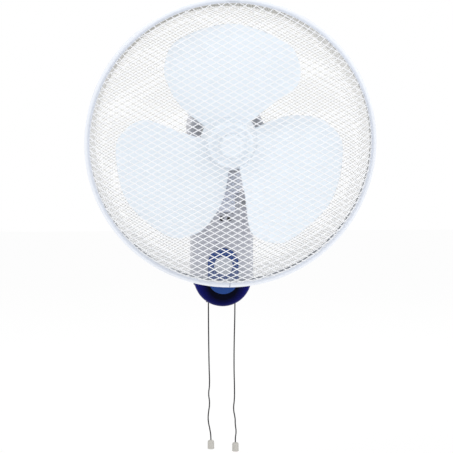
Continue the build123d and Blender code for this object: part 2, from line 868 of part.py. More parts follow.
link_dx = eye_centre - crank_radius
link_middle = (crank_radius + eye_centre) / 2
link_length = math.hypot(link_dx, crank_back)
link_angle = math.degrees(math.atan2(-crank_back, link_dx))
with BuildPart() as swing_link:
    with BuildSketch(deck(link_level)):
        with Locations((crank_radius, crank_back)):
            Circle(link_width / 2 + clip_rim / 2)
        with Locations(Location((link_middle, crank_back / 2, 0), (0, 0, link_angle))):
            Rectangle(link_length, link_width)
        with Locations((eye_centre, 0)):
            Circle(eye_bore + link_rim)
            Circle(eye_bore, mode=Mode.SUBTRACT)
        with Locations((crank_radius, crank_back)):
            Circle(crank_pin_radius + running, mode=Mode.SUBTRACT)
    extrude(amount=link_thickness)
swing_link.part.label = "swing_link"
export_step(swing_link.part, "parts/swing_link.step")

# ---------------------------------------------------------------- swing housing, bush, motor
bush_outer = pivot_radius + running + bush_wall
pod_column = pod_screw_radius + screw_play + pod_column_wall
pod_spots = [
    (0, pod_screw_inset - pod_radius),
    (-pod_screw_side, pod_screw_back),
    (pod_screw_side, pod_screw_back),
]
saddle_radius = motor_radius + seam
saddle_level = axis_rise - math.sqrt(saddle_radius**2 - pod_radius**2)
floor_top = floor_level + pod_floor
with BuildPart() as swing_housing:
    extrude(pod_outline(floor_level, 0), amount=saddle_level - floor_level)
    extrude(pod_outline(floor_top, pod_wall), amount=saddle_level, mode=Mode.SUBTRACT)
    with BuildSketch(deck(floor_level)):
        Circle(bush_outer + pivot_boss_wall)
    extrude(amount=boss_top - floor_level)
    with BuildSketch(deck(floor_level)):
        with Locations(*pod_spots):
            Circle(pod_column)
    extrude(amount=saddle_level - floor_level)
    with BuildSketch(deck(floor_level)):
        Circle(bush_outer + running)
        with Locations(*pod_spots):
            Circle(pod_screw_radius + screw_play)
    extrude(amount=saddle_level, mode=Mode.SUBTRACT)
    with BuildSketch(facing(motor_front)):
        Circle(saddle_radius)
    extrude(amount=2 * (motor_rear - motor_front), mode=Mode.SUBTRACT)
swing_housing.part.label = "swing_housing"
export_step(swing_housing.part, "parts/swing_housing.step")

with BuildPart() as pivot_bush:
    with BuildSketch(deck(floor_level)):
        Circle(bush_outer)
        Circle(pivot_radius + running, mode=Mode.SUBTRACT)
    extrude(amount=pivot_boss_height)
pivot_bush.part.label = "pivot_bush"
export_step(pivot_bush.part, "parts/pivot_bush.step")

with BuildPart() as pod_screws:
    for spot in pod_spots:
        wall_height = axis_rise - math.sqrt(motor_radius**2 - spot[0] ** 2)
        with BuildSketch(deck(floor_level)):
            with Locations(spot):
                Circle(pod_screw_radius)
        extrude(amount=wall_height + pod_boss_depth - floor_level)
pod_screws.part.label = "pod_screws"
export_step(pod_screws.part, "parts/pod_screws.step")

with BuildPart() as swing_motor:
    with BuildSketch(deck(floor_top, 0, crank_back)):
        Circle(swing_motor_radius)
    extrude(amount=swing_motor_height)
    chamfer(swing_motor.edges().filter_by(GeomType.CIRCLE), case_chamfer / 2)
    with BuildSketch(deck(floor_top + swing_motor_height, 0, crank_back)):
        Circle(swing_motor_shaft)
    extrude(amount=motor_shaft_top - floor_top - swing_motor_height)
swing_motor.part.label = "swing_motor"
export_step(swing_motor.part, "parts/swing_motor.step")

# ---------------------------------------------------------------- main motor housings
bearing_outer = shaft_radius + running + bearing_wall
bearing_seat = bearing_outer + running
bearing_boss_radius = bearing_seat + bearing_boss
front_bearing_back = motor_front - front_bearing_reach
motor_inner = motor_radius - shell
cup_inner = stator_radius + seam
cup_back = (stator_front + stator_back) / 2
rear_joint = motor_split - seam
bolt_boss = motor_screw_radius + screw_play + shell
motor_bolt_spots = [
    (motor_screw_circle * math.cos(math.radians(a)), motor_screw_circle * math.sin(math.radians(a)))
    for a in (45, 135, 225, 315)
]
pod_hole_length = axis_rise - motor_inner + 2 * pod_boss_depth - floor_top
front_pod_spots = pod_spots[:1]
rear_pod_spots = pod_spots[1:]


def pod_bosses(spots):
    """Faces of the bosses inside the motor wall that take the swing housing's screws."""
    aside = max(abs(spot[0]) for spot in spots) + pod_screw_radius + shell
    with BuildSketch(deck(axis_rise - math.sqrt(motor_radius**2 - aside**2))) as face:
        with Locations(*spots):
            Circle(pod_screw_radius + shell)
    return face.sketch


def pod_holes(spots):
    """Faces of the screw holes up through the motor wall."""
    with BuildSketch(deck(floor_top)) as face:
        with Locations(*spots):
            Circle(pod_screw_radius + running)
    return face.sketch


with BuildPart() as motor_front_housing:
    revolve(
        turned_face(
            (motor_split, motor_radius),
            (motor_front, motor_radius),
            (motor_front, seat_radius),
            (guard_seat, seat_radius),
            (guard_seat, collar_radius),
            (collar_front, collar_radius),
            (collar_front, bearing_seat),
            (front_bearing_back, bearing_seat),
            (front_bearing_back, bearing_boss_radius),
            (motor_front - shell, bearing_boss_radius),
            (motor_front - shell, motor_inner),
            (motor_split, motor_inner),
            rounds=(
                ((motor_front, motor_radius), motor_shoulder),
                ((motor_front - shell, motor_inner), shell),
            ),
        ),
        axis=fan_axis,
    )
    revolve(
        turned_face(
            (motor_front - shell, cup_inner),
            (motor_front - shell, cup_inner + stator_cup),
            (cup_back, cup_inner + stator_cup),
            (cup_back, cup_inner),
        ),
        axis=fan_axis,
    )
    with BuildSketch(facing(motor_split)):
        with Locations(*motor_bolt_spots):
            Circle(bolt_boss)
    extrude(amount=motor_front - shell - motor_split)
    extrude(pod_bosses(front_pod_spots), amount=pod_boss_depth)
    extrude(pod_holes(front_pod_spots), amount=pod_hole_length, mode=Mode.SUBTRACT)
    with BuildSketch(facing(motor_split)):
        with Locations(*motor_bolt_spots):
            Circle(motor_screw_radius + running)
    extrude(amount=motor_front - 2 * shell - motor_split, mode=Mode.SUBTRACT)
motor_front_housing.part.label = "motor_front_housing"
export_step(motor_front_housing.part, "parts/motor_front_housing.step")

rear_bearing_front = motor_rear + shell + bearing_length
with BuildPart() as motor_rear_cover:
    revolve(
        turned_face(
            (rear_joint, motor_radius),
            (motor_rear, motor_radius),
            (motor_rear, 0),
            (motor_rear + shell, 0),
            (motor_rear + shell, bearing_seat),
            (rear_bearing_front, bearing_seat),
            (rear_bearing_front, bearing_boss_radius),
            (motor_rear + shell, bearing_boss_radius),
            (motor_rear + shell, motor_inner),
            (rear_joint, motor_inner),
            rounds=(
                ((motor_rear, motor_radius), motor_tail_round),
                ((motor_rear + shell, motor_inner), motor_tail_round - shell),
            ),
        ),
        axis=fan_axis,
    )
    with BuildSketch(facing(motor_rear + shell)):
        with Locations(*motor_bolt_spots):
            Circle(motor_screw_head + screw_play + motor_pocket_wall)
    extrude(amount=rear_joint - motor_rear - shell)
    extrude(pod_bosses(rear_pod_spots), amount=pod_boss_depth)
    extrude(pod_holes(rear_pod_spots), amount=axis_rise, mode=Mode.SUBTRACT)
    with BuildSketch(facing(motor_rear - shell)):
        with Locations(*motor_bolt_spots):
            Circle(motor_screw_head + screw_play)
    extrude(amount=motor_screw_pocket + shell, mode=Mode.SUBTRACT)
    with BuildSketch(facing(motor_rear)):
        with Locations(*motor_bolt_spots):
            Circle(motor_screw_radius + screw_play)
    extrude(amount=rear_joint - motor_rear, mode=Mode.SUBTRACT)
    # vent slots round the tail
    with BuildSketch(facing(motor_rear - shell)):
        with PolarLocations((vent_inner + vent_outer) / 2, vent_count):
            SlotOverall(vent_outer - vent_inner, vent_width)
    extrude(amount=3 * shell, mode=Mode.SUBTRACT)
motor_rear_cover.part.label = "motor_rear_cover"
export_step(motor_rear_cover.part, "parts/motor_rear_cover.step")

bolt_head_seat = motor_rear + motor_screw_pocket
with BuildPart() as motor_screws:
    with BuildSketch(facing(bolt_head_seat)):
        with Locations(*motor_bolt_spots):
            Circle(motor_screw_radius)
    extrude(amount=motor_screw_length)
    with BuildSketch(facing(bolt_head_seat - screw_head_height)):
        with Locations(*motor_bolt_spots):
            Circle(motor_screw_head)
    extrude(amount=screw_head_height)
    with BuildSketch(facing(bolt_head_seat - screw_head_height)):
        with Locations(*motor_bolt_spots):
            Rectangle(2 * motor_screw_radius, screw_slot)
            Rectangle(screw_slot, 2 * motor_screw_radius)
    extrude(amount=screw_head_height / 2, mode=Mode.SUBTRACT)
motor_screws.part.label = "motor_screws"
export_step(motor_screws.part, "parts/motor_screws.step")

# ---------------------------------------------------------------- stator, windings, bearings
with BuildPart() as stator_core:
    with BuildSketch(facing(stator_back)):
        Circle(stator_radius)
        Circle(stator_bore, mode=Mode.SUBTRACT)
        with PolarLocations((coil_inner + coil_outer) / 2, coil_count):
            Rectangle(slot_depth, slot_width, mode=Mode.SUBTRACT)
    extrude(amount=stator_front - stator_back)
stator_core.part.label = "stator_core"
export_step(stator_core.part, "parts/stator_core.step")

with BuildPart() as stator_windings:
    for back in (stator_front + seam, stator_back - coil_reach):
        with BuildSketch(facing(back)):
            Circle(coil_outer)
            Circle(coil_inner, mode=Mode.SUBTRACT)
        extrude(amount=coil_reach - seam)
    with BuildSketch(facing(stator_back - coil_reach)):
        with PolarLocations((coil_inner + coil_outer) / 2, coil_count):
            Rectangle(slot_depth - 2 * seam, slot_width - 2 * seam)
    extrude(amount=stator_front - stator_back + 2 * coil_reach)
stator_windings.part.label = "stator_windings"
export_step(stator_windings.part, "parts/stator_windings.step")

front_bearing_start = front_bearing_back + seam
for name, start in (("front_bearing", front_bearing_start), ("rear_bearing", motor_rear + shell)):
    with BuildPart() as bearing:
        with BuildSketch(facing(start)):
            Circle(bearing_outer)
            Circle(shaft_radius + running, mode=Mode.SUBTRACT)
        extrude(amount=bearing_length - end_play)
    bearing.part.label = name
    export_step(bearing.part, "parts/" + name + ".step")

# ---------------------------------------------------------------- rotor: shaft, core, drive pin
shaft_back = motor_rear + shell + end_play
with BuildPart() as motor_shaft:
    with BuildSketch(facing(shaft_back)):
        Circle(shaft_radius)
    extrude(amount=hub_front - shaft_back)
    with BuildSketch(facing(hub_front)):
        Circle(spinner_thread)
    extrude(amount=spinner_front - hub_front - hub_wall - end_play)
    with BuildSketch(Plane(origin=ring_centre + forward * drive_pin_ahead, x_dir=forward, z_dir=across)):
        Circle(drive_pin_radius + running)
    extrude(amount=hub_radius, both=True, mode=Mode.SUBTRACT)
motor_shaft.part.label = "motor_shaft"
export_step(motor_shaft.part, "parts/motor_shaft.step")

with BuildPart() as drive_pin:
    with BuildSketch(Plane(origin=ring_centre + forward * drive_pin_ahead, x_dir=forward, z_dir=across)):
        Circle(drive_pin_radius)
    extrude(amount=drive_pin_length / 2, both=True)
drive_pin.part.label = "drive_pin"
export_step(drive_pin.part, "parts/drive_pin.step")

with BuildPart() as rotor_core:
    with BuildSketch(facing(stator_back)):
        Circle(stator_bore - air_gap)
        Circle(shaft_radius + running, mode=Mode.SUBTRACT)
    extrude(amount=stator_front - stator_back)
rotor_core.part.label = "rotor_core"
export_step(rotor_core.part, "parts/rotor_core.step")

# ---------------------------------------------------------------- blade: three leaves on a hub
# one leaf: height of its rows above the axis, and how far a row rises from edge to edge per mm
leaf_rows = ((18.0, 0.34), (60.0, 0.28), (105.0, 0.21), (150.0, 0.17), (190.0, 0.15))
leaf_half_span = 130.0
# outline, as degrees clockwise from the leaf's middle and mm from the axis, hub to tip to hub
leaf_outline = (
    (-60, 38), (-55, 87), (-48.5, 123), (-41, 152), (-27, 174), (0, 180),
    (27, 174), (38.8, 160), (46.2, 139), (47.2, 118), (44.5, 83), (40, 38),
)


def leaf_point(degrees, radius):
    """Point of the leaf's outline, seen from the front with the leaf upright."""
    return (radius * math.sin(math.radians(degrees)), radius * math.cos(math.radians(degrees)))


with BuildPart() as leaf:
    for height, rise in leaf_rows:
        back = leaf_middle - leaf_half_span * rise
        front = leaf_middle + leaf_half_span * rise
        middle = leaf_middle - leaf_camber
        row_plane = Plane(origin=ring_centre + upward * height, x_dir=across, z_dir=-upward)
        with BuildSketch(row_plane):
            with BuildLine():
                ThreePointArc((-leaf_half_span, back), (0, middle), (leaf_half_span, front))
                Line((leaf_half_span, front), (leaf_half_span, front + leaf_thickness))
                ThreePointArc(
                    (leaf_half_span, front + leaf_thickness),
                    (0, middle + leaf_thickness),
                    (-leaf_half_span, back + leaf_thickness),
                )
                Line((-leaf_half_span, back + leaf_thickness), (-leaf_half_span, back))
            make_face()
    loft()
    with BuildSketch(facing(3 * hub_back)):
        with BuildLine():
            outline_curve = Spline(*[leaf_point(*spot) for spot in leaf_outline])
            Line(outline_curve @ 1, outline_curve @ 0)
        make_face()
    extrude(amount=-6 * hub_back, mode=Mode.INTERSECT)

with BuildPart() as fan_blade:
    revolve(
        turned_face(
            (hub_front, shaft_radius + running),
            (hub_front, hub_radius),
            (hub_back, hub_skirt),
            (hub_back, hub_skirt - hub_wall),
            (hub_front - hub_wall, hub_radius - hub_wall),
            (hub_front - hub_wall, shaft_radius + hub_tube_wall),
            (hub_back + end_play, shaft_radius + hub_tube_wall),
            (hub_back + end_play, shaft_radius + running),
            rounds=(((hub_front, hub_radius), hub_wall),),
        ),
        axis=fan_axis,
    )
    for number in range(blade_count):
        add(leaf.part.rotate(fan_axis, number * 360 / blade_count))
    # slot in the hub's tube that drops over the drive pin
    with BuildSketch(facing(hub_back)):
        Rectangle(drive_pin_length + 2 * seam, 2 * drive_pin_radius + 2 * screw_play)
    extrude(amount=drive_pin_ahead + drive_pin_radius + screw_play - hub_back, mode=Mode.SUBTRACT)
fan_blade.part.label = "fan_blade"
export_step(fan_blade.part, "parts/fan_blade.step")

# ---------------------------------------------------------------- spinner
spinner_back = hub_front + seam
with BuildPart() as spinner:
    revolve(
        turned_face(
            (spinner_back, spinner_thread + running),
            (spinner_back, spinner_radius),
            (spinner_front, spinner_radius),
            (spinner_front, 0),
            (spinner_front - hub_wall, 0),
            (spinner_front - hub_wall, spinner_thread + running),
            rounds=(((spinner_front, spinner_radius), spinner_round),),
        ),
        axis=fan_axis,
    )
    with BuildSketch(facing(hub_front)):
        with PolarLocations(spinner_radius + spinner_groove / 2, spinner_grooves):
            Circle(spinner_groove)
    extrude(amount=spinner_front - hub_front - spinner_round, mode=Mode.SUBTRACT)
spinner.part.label = "spinner"
export_step(spinner.part, "parts/spinner.step")

# ---------------------------------------------------------------- rear guard and its nut
band_inner = ring_radius - ring_band
rim_outer = band_inner - rim_play
lip_radius = ring_radius - ring_lip
rim_inner = lip_radius - guard_sheet - rim_play
lip_inner = ring_half_depth - ring_lip_thickness
lip_outer = lip_inner + ring_lip_edge
rim_far = lip_inner - rim_play
rim_near = rim_play
sheet_edge = rim_inner + guard_sheet
rim_bite = rim_far - guard_sheet
with BuildPart() as rear_guard:
    with BuildSketch(side_plane):
        with BuildLine():
            for inward in (0, guard_sheet):
                wall_foot = (basket_wall_depth + wall_share * inward, basket_wall_radius - inward)
                corner = (
                    (basket_wall_depth + basket_shoulder) / 2 - basket_bulge + corner_share * inward,
                    (basket_wall_radius + basket_flat_radius) / 2 + basket_bulge - corner_share * inward,
                )
                Line((-rim_bite, sheet_edge - inward), wall_foot)
                ThreePointArc(wall_foot, corner, (basket_shoulder + inward, basket_flat_radius))
                Polyline(
                    (basket_shoulder + inward, basket_flat_radius),
                    (guard_seat + inward, centre_plate_radius),
                    (guard_seat + inward, collar_radius + screw_play),
                )
            Line((-rim_bite, sheet_edge), (-rim_bite, rim_inner))
            Line(
                (guard_seat, collar_radius + screw_play),
                (guard_seat + guard_sheet, collar_radius + screw_play),
            )
        make_face()
    revolve(axis=fan_axis)
    # slots round the steep wall
    with Locations(facing((basket_wall_depth - rim_far) / 2)):
        with PolarLocations(basket_wall_radius, wall_slots):
            Box(wall_slot_depth, wall_slot_width, wall_slot_length, mode=Mode.SUBTRACT)
    extrude(
        strand_net(facing(2 * guard_seat), basket_net_radius, centre_plate_radius),
        amount=-4 * guard_seat,
        mode=Mode.INTERSECT,
    )
    revolve(
        turned_face(
            (-rim_far, rim_inner), (-rim_far, rim_outer), (-rim_near, rim_outer), (-rim_near, rim_inner)
        ),
        axis=fan_axis,
    )
rear_guard.part.label = "rear_guard"
export_step(rear_guard.part, "parts/rear_guard.step")

with BuildPart() as guard_nut:
    with BuildSketch(facing(guard_seat + guard_sheet)):
        Circle(guard_nut_radius)
        Circle(collar_radius + running, mode=Mode.SUBTRACT)
        with PolarLocations(guard_nut_radius, guard_nut_notches):
            Circle(spinner_groove, mode=Mode.SUBTRACT)
    extrude(amount=guard_nut_depth)
guard_nut.part.label = "guard_nut"
export_step(guard_nut.part, "parts/guard_nut.step")

# ---------------------------------------------------------------- front guard
def shoulder_middle(ahead, radius, rim_ahead, rim_radius):
    """Middle of the arc from the dome's flat to the rim, which it meets along the fan's axis."""
    rise = rim_radius - radius
    bend = ((ahead - rim_ahead) ** 2 + rise**2) / (2 * rise)
    start = math.atan2(bend - rise, ahead - rim_ahead)
    half_way = (start + math.pi / 2) / 2
    return (rim_ahead + bend * math.cos(half_way), rim_radius - bend + bend * math.sin(half_way))


dome_middle = (dome_height + dome_shoulder) / 2 + (dome_height - dome_shoulder) / 4
with BuildPart() as front_guard:
    with BuildSketch(side_plane):
        with BuildLine():
            for drop in (0, guard_sheet):
                ThreePointArc(
                    (dome_height - drop, 0),
                    (dome_middle - drop, dome_flat_radius / 2),
                    (dome_shoulder - drop, dome_flat_radius),
                )
                ThreePointArc(
                    (dome_shoulder - drop, dome_flat_radius),
                    shoulder_middle(dome_shoulder - drop, dome_flat_radius, rim_bite, sheet_edge - drop),
                    (rim_bite, sheet_edge - drop),
                )
            Line((rim_bite, sheet_edge), (rim_bite, rim_inner))
            Line((dome_height, 0), (dome_height - guard_sheet, 0))
        make_face()
    revolve(axis=fan_axis)
    extrude(
        strand_net(facing(-dome_height), net_edge_radius, 0),
        amount=3 * dome_height,
        mode=Mode.INTERSECT,
    )
    revolve(
        turned_face(
            (rim_near, rim_inner), (rim_near, rim_outer), (rim_far, rim_outer), (rim_far, rim_inner)
        ),
        axis=fan_axis,
    )
front_guard.part.label = "front_guard"
export_step(front_guard.part, "parts/front_guard.step")

# ---------------------------------------------------------------- guard ring, its screw, nut and clip
lug_level = ring_radius - lug_height / 2
with BuildPart() as guard_ring:
    revolve(
        turned_face(
            (-lip_outer, lip_radius),
            (-ring_half_depth, ring_radius - ring_bead),
            (-ring_half_depth, ring_radius),
            (ring_half_depth, ring_radius),
            (ring_half_depth, ring_radius - ring_bead),
            (lip_outer, lip_radius),
            (lip_inner, lip_radius),
            (lip_inner, band_inner),
            (-lip_inner, band_inner),
            (-lip_inner, lip_radius),
        ),
        axis=fan_axis,
    )
    fillet(guard_ring.edges().filter_by(GeomType.CIRCLE).group_by(SortBy.RADIUS)[-1], ring_edge)
    # lugs behind the ring at its foot, with the gap that the screw closes
    with BuildSketch(facing(-ring_half_depth - lug_depth)):
        with Locations((0, -lug_level)):
            Rectangle(2 * lug_thickness + lug_gap, lug_height)
    extrude(amount=lug_depth + ring_lip_thickness)
    with BuildSketch(facing(-ring_half_depth - lug_depth)):
        with Locations((0, -ring_radius)):
            Rectangle(lug_gap, 4 * lug_height)
    extrude(amount=2 * ring_half_depth + 2 * lug_depth, mode=Mode.SUBTRACT)
    lug_side = Plane(
        origin=ring_centre - forward * (ring_half_depth + lug_depth / 2) - upward * lug_level,
        x_dir=forward,
        z_dir=across,
    )
    with BuildSketch(lug_side):
        Circle(ring_screw_radius + screw_play)
    extrude(amount=ring_radius / 4, both=True, mode=Mode.SUBTRACT)
guard_ring.part.label = "guard_ring"
export_step(guard_ring.part, "parts/guard_ring.step")

lug_half = lug_thickness + lug_gap / 2
with BuildPart() as ring_screw:
    with BuildSketch(lug_side.offset(-lug_half - screw_head_height)):
        Circle(2 * ring_screw_radius)
    extrude(amount=screw_head_height)
    with BuildSketch(lug_side.offset(-lug_half)):
        Circle(ring_screw_radius)
    extrude(amount=2 * lug_half + arm_nut_height)
    with BuildSketch(lug_side.offset(-lug_half - screw_head_height)):
        Rectangle(4 * ring_screw_radius, screw_slot)
    extrude(amount=screw_head_height / 2, mode=Mode.SUBTRACT)
ring_screw.part.label = "ring_screw"
export_step(ring_screw.part, "parts/ring_screw.step")

with BuildPart() as ring_nut:
    with BuildSketch(lug_side.offset(lug_half)):
        RegularPolygon(2 * ring_screw_radius, 6)
        Circle(ring_screw_radius + running, mode=Mode.SUBTRACT)
    extrude(amount=arm_nut_height)
ring_nut.part.label = "ring_nut"
export_step(ring_nut.part, "parts/ring_nut.step")

clip_outer = ring_radius + seam + clip_sheet
clip_end = ring_half_depth + seam + clip_sheet
with BuildPart() as top_clip:
    with BuildSketch(side_plane):
        with Locations((0, clip_outer)):
            Rectangle(2 * clip_end, clip_drop, align=(Align.CENTER, Align.MAX))
        with Locations((0, clip_outer - clip_sheet)):
            Rectangle(
                2 * (ring_half_depth + seam),
                clip_drop,
                align=(Align.CENTER, Align.MAX),
                mode=Mode.SUBTRACT,
            )
    extrude(amount=clip_width / 2, both=True)
top_clip.part.label = "top_clip"
export_step(top_clip.part, "parts/top_clip.step")

# ---------------------------------------------------------------- pull cords
# each route hangs from its switch through its guide: (x, y, z) of its turning points
speed_route = [
    (-22.0, -50.0, -70.0),
    (-22.0, -50.0, -117.0),
    (-21.6, -50.3, -165.0),
    (-20.9, -49.9, -208.0),
    (-19.9, -50.1, -236.0),
    (-22.2, -50.4, -251.0),
    (-19.6, -50.0, -266.5),
    (-22.6, -49.7, -286.0),
    (-22.5, -50.0, -297.0),
    (-19.6, -50.2, -311.0),
    (-18.0, -50.0, -321.0),
    (-18.0, -50.1, -328.0),
]
swing_route = [
    (22.0, -50.0, -70.0),
    (22.0, -50.0, -117.0),
    (20.6, -50.3, -164.0),
    (20.4, -49.9, -211.0),
    (21.3, -50.1, -240.0),
    (21.2, -50.4, -261.0),
    (19.2, -50.0, -277.0),
    (22.6, -49.8, -293.0),
    (22.3, -50.1, -301.0),
    (24.3, -50.2, -315.0),
    (22.5, -50.0, -326.0),
    (22.8, -50.1, -332.5),
]
run_share = 0.45


def bend_radii(route):
    """Radius of the arc at each turning point, from the shorter of the runs that meet there."""
    points = [Vector(*spot) for spot in route]
    radii = []
    for before, here, after in zip(points, points[1:], points[2:]):
        turn = math.radians((here - before).get_angle(after - here))
        shorter = min((here - before).length, (after - here).length)
        radii.append(run_share * shorter / math.tan(turn / 2))
    return radii


for name, route in (("speed", speed_route), ("swing", swing_route)):
    radii = bend_radii(route)
    print(name, "cord radii", " ".join("%.0f" % radius for radius in radii))
    with BuildPart() as cord:
        with BuildLine() as path:
            FilletPolyline(*route, radius=radii)
        with BuildSketch(Plane(origin=route[0], z_dir=Vector(*route[1]) - Vector(*route[0]))):
            Circle(cord_radius)
        sweep(path=path.wires()[0])
    length = path.wires()[0].length
    volume_ratio = cord.part.volume / (math.pi * cord_radius**2 * length)
    print(name, "cord length %.1f, volume ratio %.4f" % (length, volume_ratio))
    cord.part.label = name + "_cord"
    export_step(cord.part, "parts/" + name + "_cord.step")

    knob_top = Vector(*route[-1]) - Vector(0, 0, knob_gap)
    with BuildPart() as knob:
        with BuildSketch(Plane.XY.offset(knob_top.Z - knob_height)):
            with Locations((knob_top.X, knob_top.Y)):
                Circle(knob_radius)
        extrude(amount=knob_height)
        fillet(knob.edges().group_by(Axis.Z)[-1], knob_crown)
        fillet(knob.edges().group_by(Axis.Z)[0], knob_foot)
        with BuildSketch(Plane.XY.offset(knob_top.Z - knob_height)):
            with Locations((knob_top.X, knob_top.Y)):
                with PolarLocations(knob_radius + knob_flute / 3, knob_flutes):
                    Circle(knob_flute)
        extrude(amount=knob_height - 2 * knob_crown, mode=Mode.SUBTRACT)
        with BuildSketch(Plane.XY.offset(knob_top.Z - knob_height)):
            with Locations((knob_top.X, knob_top.Y)):
                Rectangle(knob_notch, 3 * knob_radius)
        extrude(amount=knob_notch, mode=Mode.SUBTRACT)
    knob.part.label = name + "_knob"
    export_step(knob.part, "parts/" + name + "_knob.step")
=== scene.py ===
"""Looks of the wall mounted fan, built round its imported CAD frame."""

import json
import logging
import math
from dataclasses import dataclass, field
from enum import Enum
from typing import Iterable, Sequence, Union

import bmesh
import bpy
import numpy as np
from mathutils import Matrix, Vector


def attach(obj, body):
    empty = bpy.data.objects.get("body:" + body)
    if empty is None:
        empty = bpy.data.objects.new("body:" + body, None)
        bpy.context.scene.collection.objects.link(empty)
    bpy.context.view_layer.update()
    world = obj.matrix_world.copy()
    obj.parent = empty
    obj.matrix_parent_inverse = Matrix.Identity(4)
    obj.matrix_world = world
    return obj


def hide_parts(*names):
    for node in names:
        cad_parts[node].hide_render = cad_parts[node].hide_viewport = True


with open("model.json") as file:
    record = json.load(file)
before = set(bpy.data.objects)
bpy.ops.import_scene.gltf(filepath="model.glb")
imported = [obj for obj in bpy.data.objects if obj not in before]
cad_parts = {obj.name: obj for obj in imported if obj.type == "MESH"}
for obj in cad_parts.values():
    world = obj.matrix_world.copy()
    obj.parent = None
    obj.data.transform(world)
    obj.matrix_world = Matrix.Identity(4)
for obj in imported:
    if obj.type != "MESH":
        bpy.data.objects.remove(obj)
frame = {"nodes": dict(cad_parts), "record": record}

log = logging.getLogger("fan")
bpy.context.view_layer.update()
MM = 0.001
TAU = 2 * math.pi
IMAGE_SIDE = 453
BODY_OF = {
    node: body for body, nodes in frame["record"]["behaviour"]["bodies"].items() for node in nodes
}
SLOT_OF = {row["node"]: row["material_slot"] for row in frame["record"]["subparts"]}
Number = Union[int, float]
Colour = tuple[float, float, float]
Point = tuple[float, float, float]
Spot = tuple[float, float]


# ------------------------------------------------------------------ places
@dataclass(frozen=True)
class Stance:
    """A place and its axes: local x goes across, y up the head and z ahead, in millimetres."""

    origin: Vector
    across: Vector
    upward: Vector
    ahead: Vector

    def matrix(self) -> Matrix:
        """Matrix from local millimetres to the frame's metres."""
        turn = Matrix((self.across, self.upward, self.ahead)).transposed().to_4x4()
        return Matrix.Translation(self.origin * MM) @ turn @ Matrix.Scale(MM, 4)


REST_TILT = math.radians(8)
PIVOT = Vector((0, -135, 70))
AXIS_RISE = 113
RING_REACH = 115
ACROSS = Vector((1, 0, 0))
FORWARD = Vector((0, -math.cos(REST_TILT), -math.sin(REST_TILT)))
UPWARD = Vector((0, -math.sin(REST_TILT), math.cos(REST_TILT)))
RING = Stance(PIVOT + UPWARD * AXIS_RISE + FORWARD * RING_REACH, ACROSS, UPWARD, FORWARD)


# ------------------------------------------------------------------ node graphs
class Wire:
    """One output of a node, with Python's operators standing for Math nodes."""

    def __init__(self, graph: "Graph", socket: bpy.types.NodeSocket) -> None:
        """Keeps the graph that the socket belongs to.

        Args:
            graph: The graph that new Math nodes are added to.
            socket: The output that the wire starts from.
        """
        self.graph = graph
        self.socket = socket

    def __add__(self, other: "Term") -> "Wire":
        """Sum."""
        return self.graph.math("ADD", self, other)

    def __radd__(self, other: "Term") -> "Wire":
        """Sum, the other way round."""
        return self.graph.math("ADD", other, self)

    def __sub__(self, other: "Term") -> "Wire":
        """Difference."""
        return self.graph.math("SUBTRACT", self, other)

    def __rsub__(self, other: "Term") -> "Wire":
        """Difference, the other way round."""
        return self.graph.math("SUBTRACT", other, self)

    def __mul__(self, other: "Term") -> "Wire":
        """Product."""
        return self.graph.math("MULTIPLY", self, other)

    def __rmul__(self, other: "Term") -> "Wire":
        """Product, the other way round."""
        return self.graph.math("MULTIPLY", other, self)

    def __truediv__(self, other: "Term") -> "Wire":
        """Quotient."""
        return self.graph.math("DIVIDE", self, other)

    def __rtruediv__(self, other: "Term") -> "Wire":
        """Quotient, the other way round."""
        return self.graph.math("DIVIDE", other, self)

    def __mod__(self, other: "Term") -> "Wire":
        """Remainder."""
        return self.graph.math("MODULO", self, other)

    def __gt__(self, other: "Term") -> "Wire":
        """One where the wire is larger, otherwise nought."""
        return self.graph.math("GREATER_THAN", self, other)

    def __lt__(self, other: "Term") -> "Wire":
        """One where the wire is smaller, otherwise nought."""
        return self.graph.math("LESS_THAN", self, other)


Term = Union[Wire, int, float]


class Graph:
    """Builds a shader or geometry tree, one node to a call."""

    def __init__(self, tree: bpy.types.NodeTree) -> None:
        """Starts from an empty tree.

        Args:
            tree: The tree that nodes are added to.
        """
        self.tree = tree
        self.tree.nodes.clear()

    def node(
        self, kind: str, settings: dict | None = None, out: int | str = 0, **sockets: object
    ) -> Wire:
        """Adds a node, first its settings and then its sockets.

        Args:
            kind: The node's type name.
            settings: The node's own settings, by name.
            out: The output that is given back, by place or name.
            **sockets: Values or wires by socket name, with _ for a space, or s0, s1 by place.

        Returns:
            The chosen output.
        """
        made = self.tree.nodes.new(kind)
        for name, value in (settings or {}).items():
            setattr(made, name, value)
        for name, value in sockets.items():
            by_place = name[0] == "s" and name[1:].isdigit()
            self.feed(made.inputs[int(name[1:]) if by_place else name.replace("_", " ")], value)
        return Wire(self, made.outputs[out]) if len(made.outputs) else Wire(self, None)

    def feed(self, socket: bpy.types.NodeSocket, value: object) -> None:
        """Links a wire to a socket, or sets the socket to a value."""
        for part in value if isinstance(value, list) else [value]:
            if isinstance(part, Wire):
                self.tree.links.new(part.socket, socket)
            else:
                socket.default_value = part

    def math(self, operation: str, first: Term, second: Term = 0.0) -> Wire:
        """Adds one Math node."""
        return self.node("ShaderNodeMath", {"operation": operation}, s0=first, s1=second)

    def root(self, value: Wire) -> Wire:
        """Square root of a wire that may dip under nought."""
        return self.math("SQRT", self.math("MAXIMUM", value, 0.0))

    def vector(self, x: Term, y: Term, z: Term) -> Wire:
        """Vector of three numbers or wires."""
        return self.node("ShaderNodeCombineXYZ", s0=x, s1=y, s2=z)


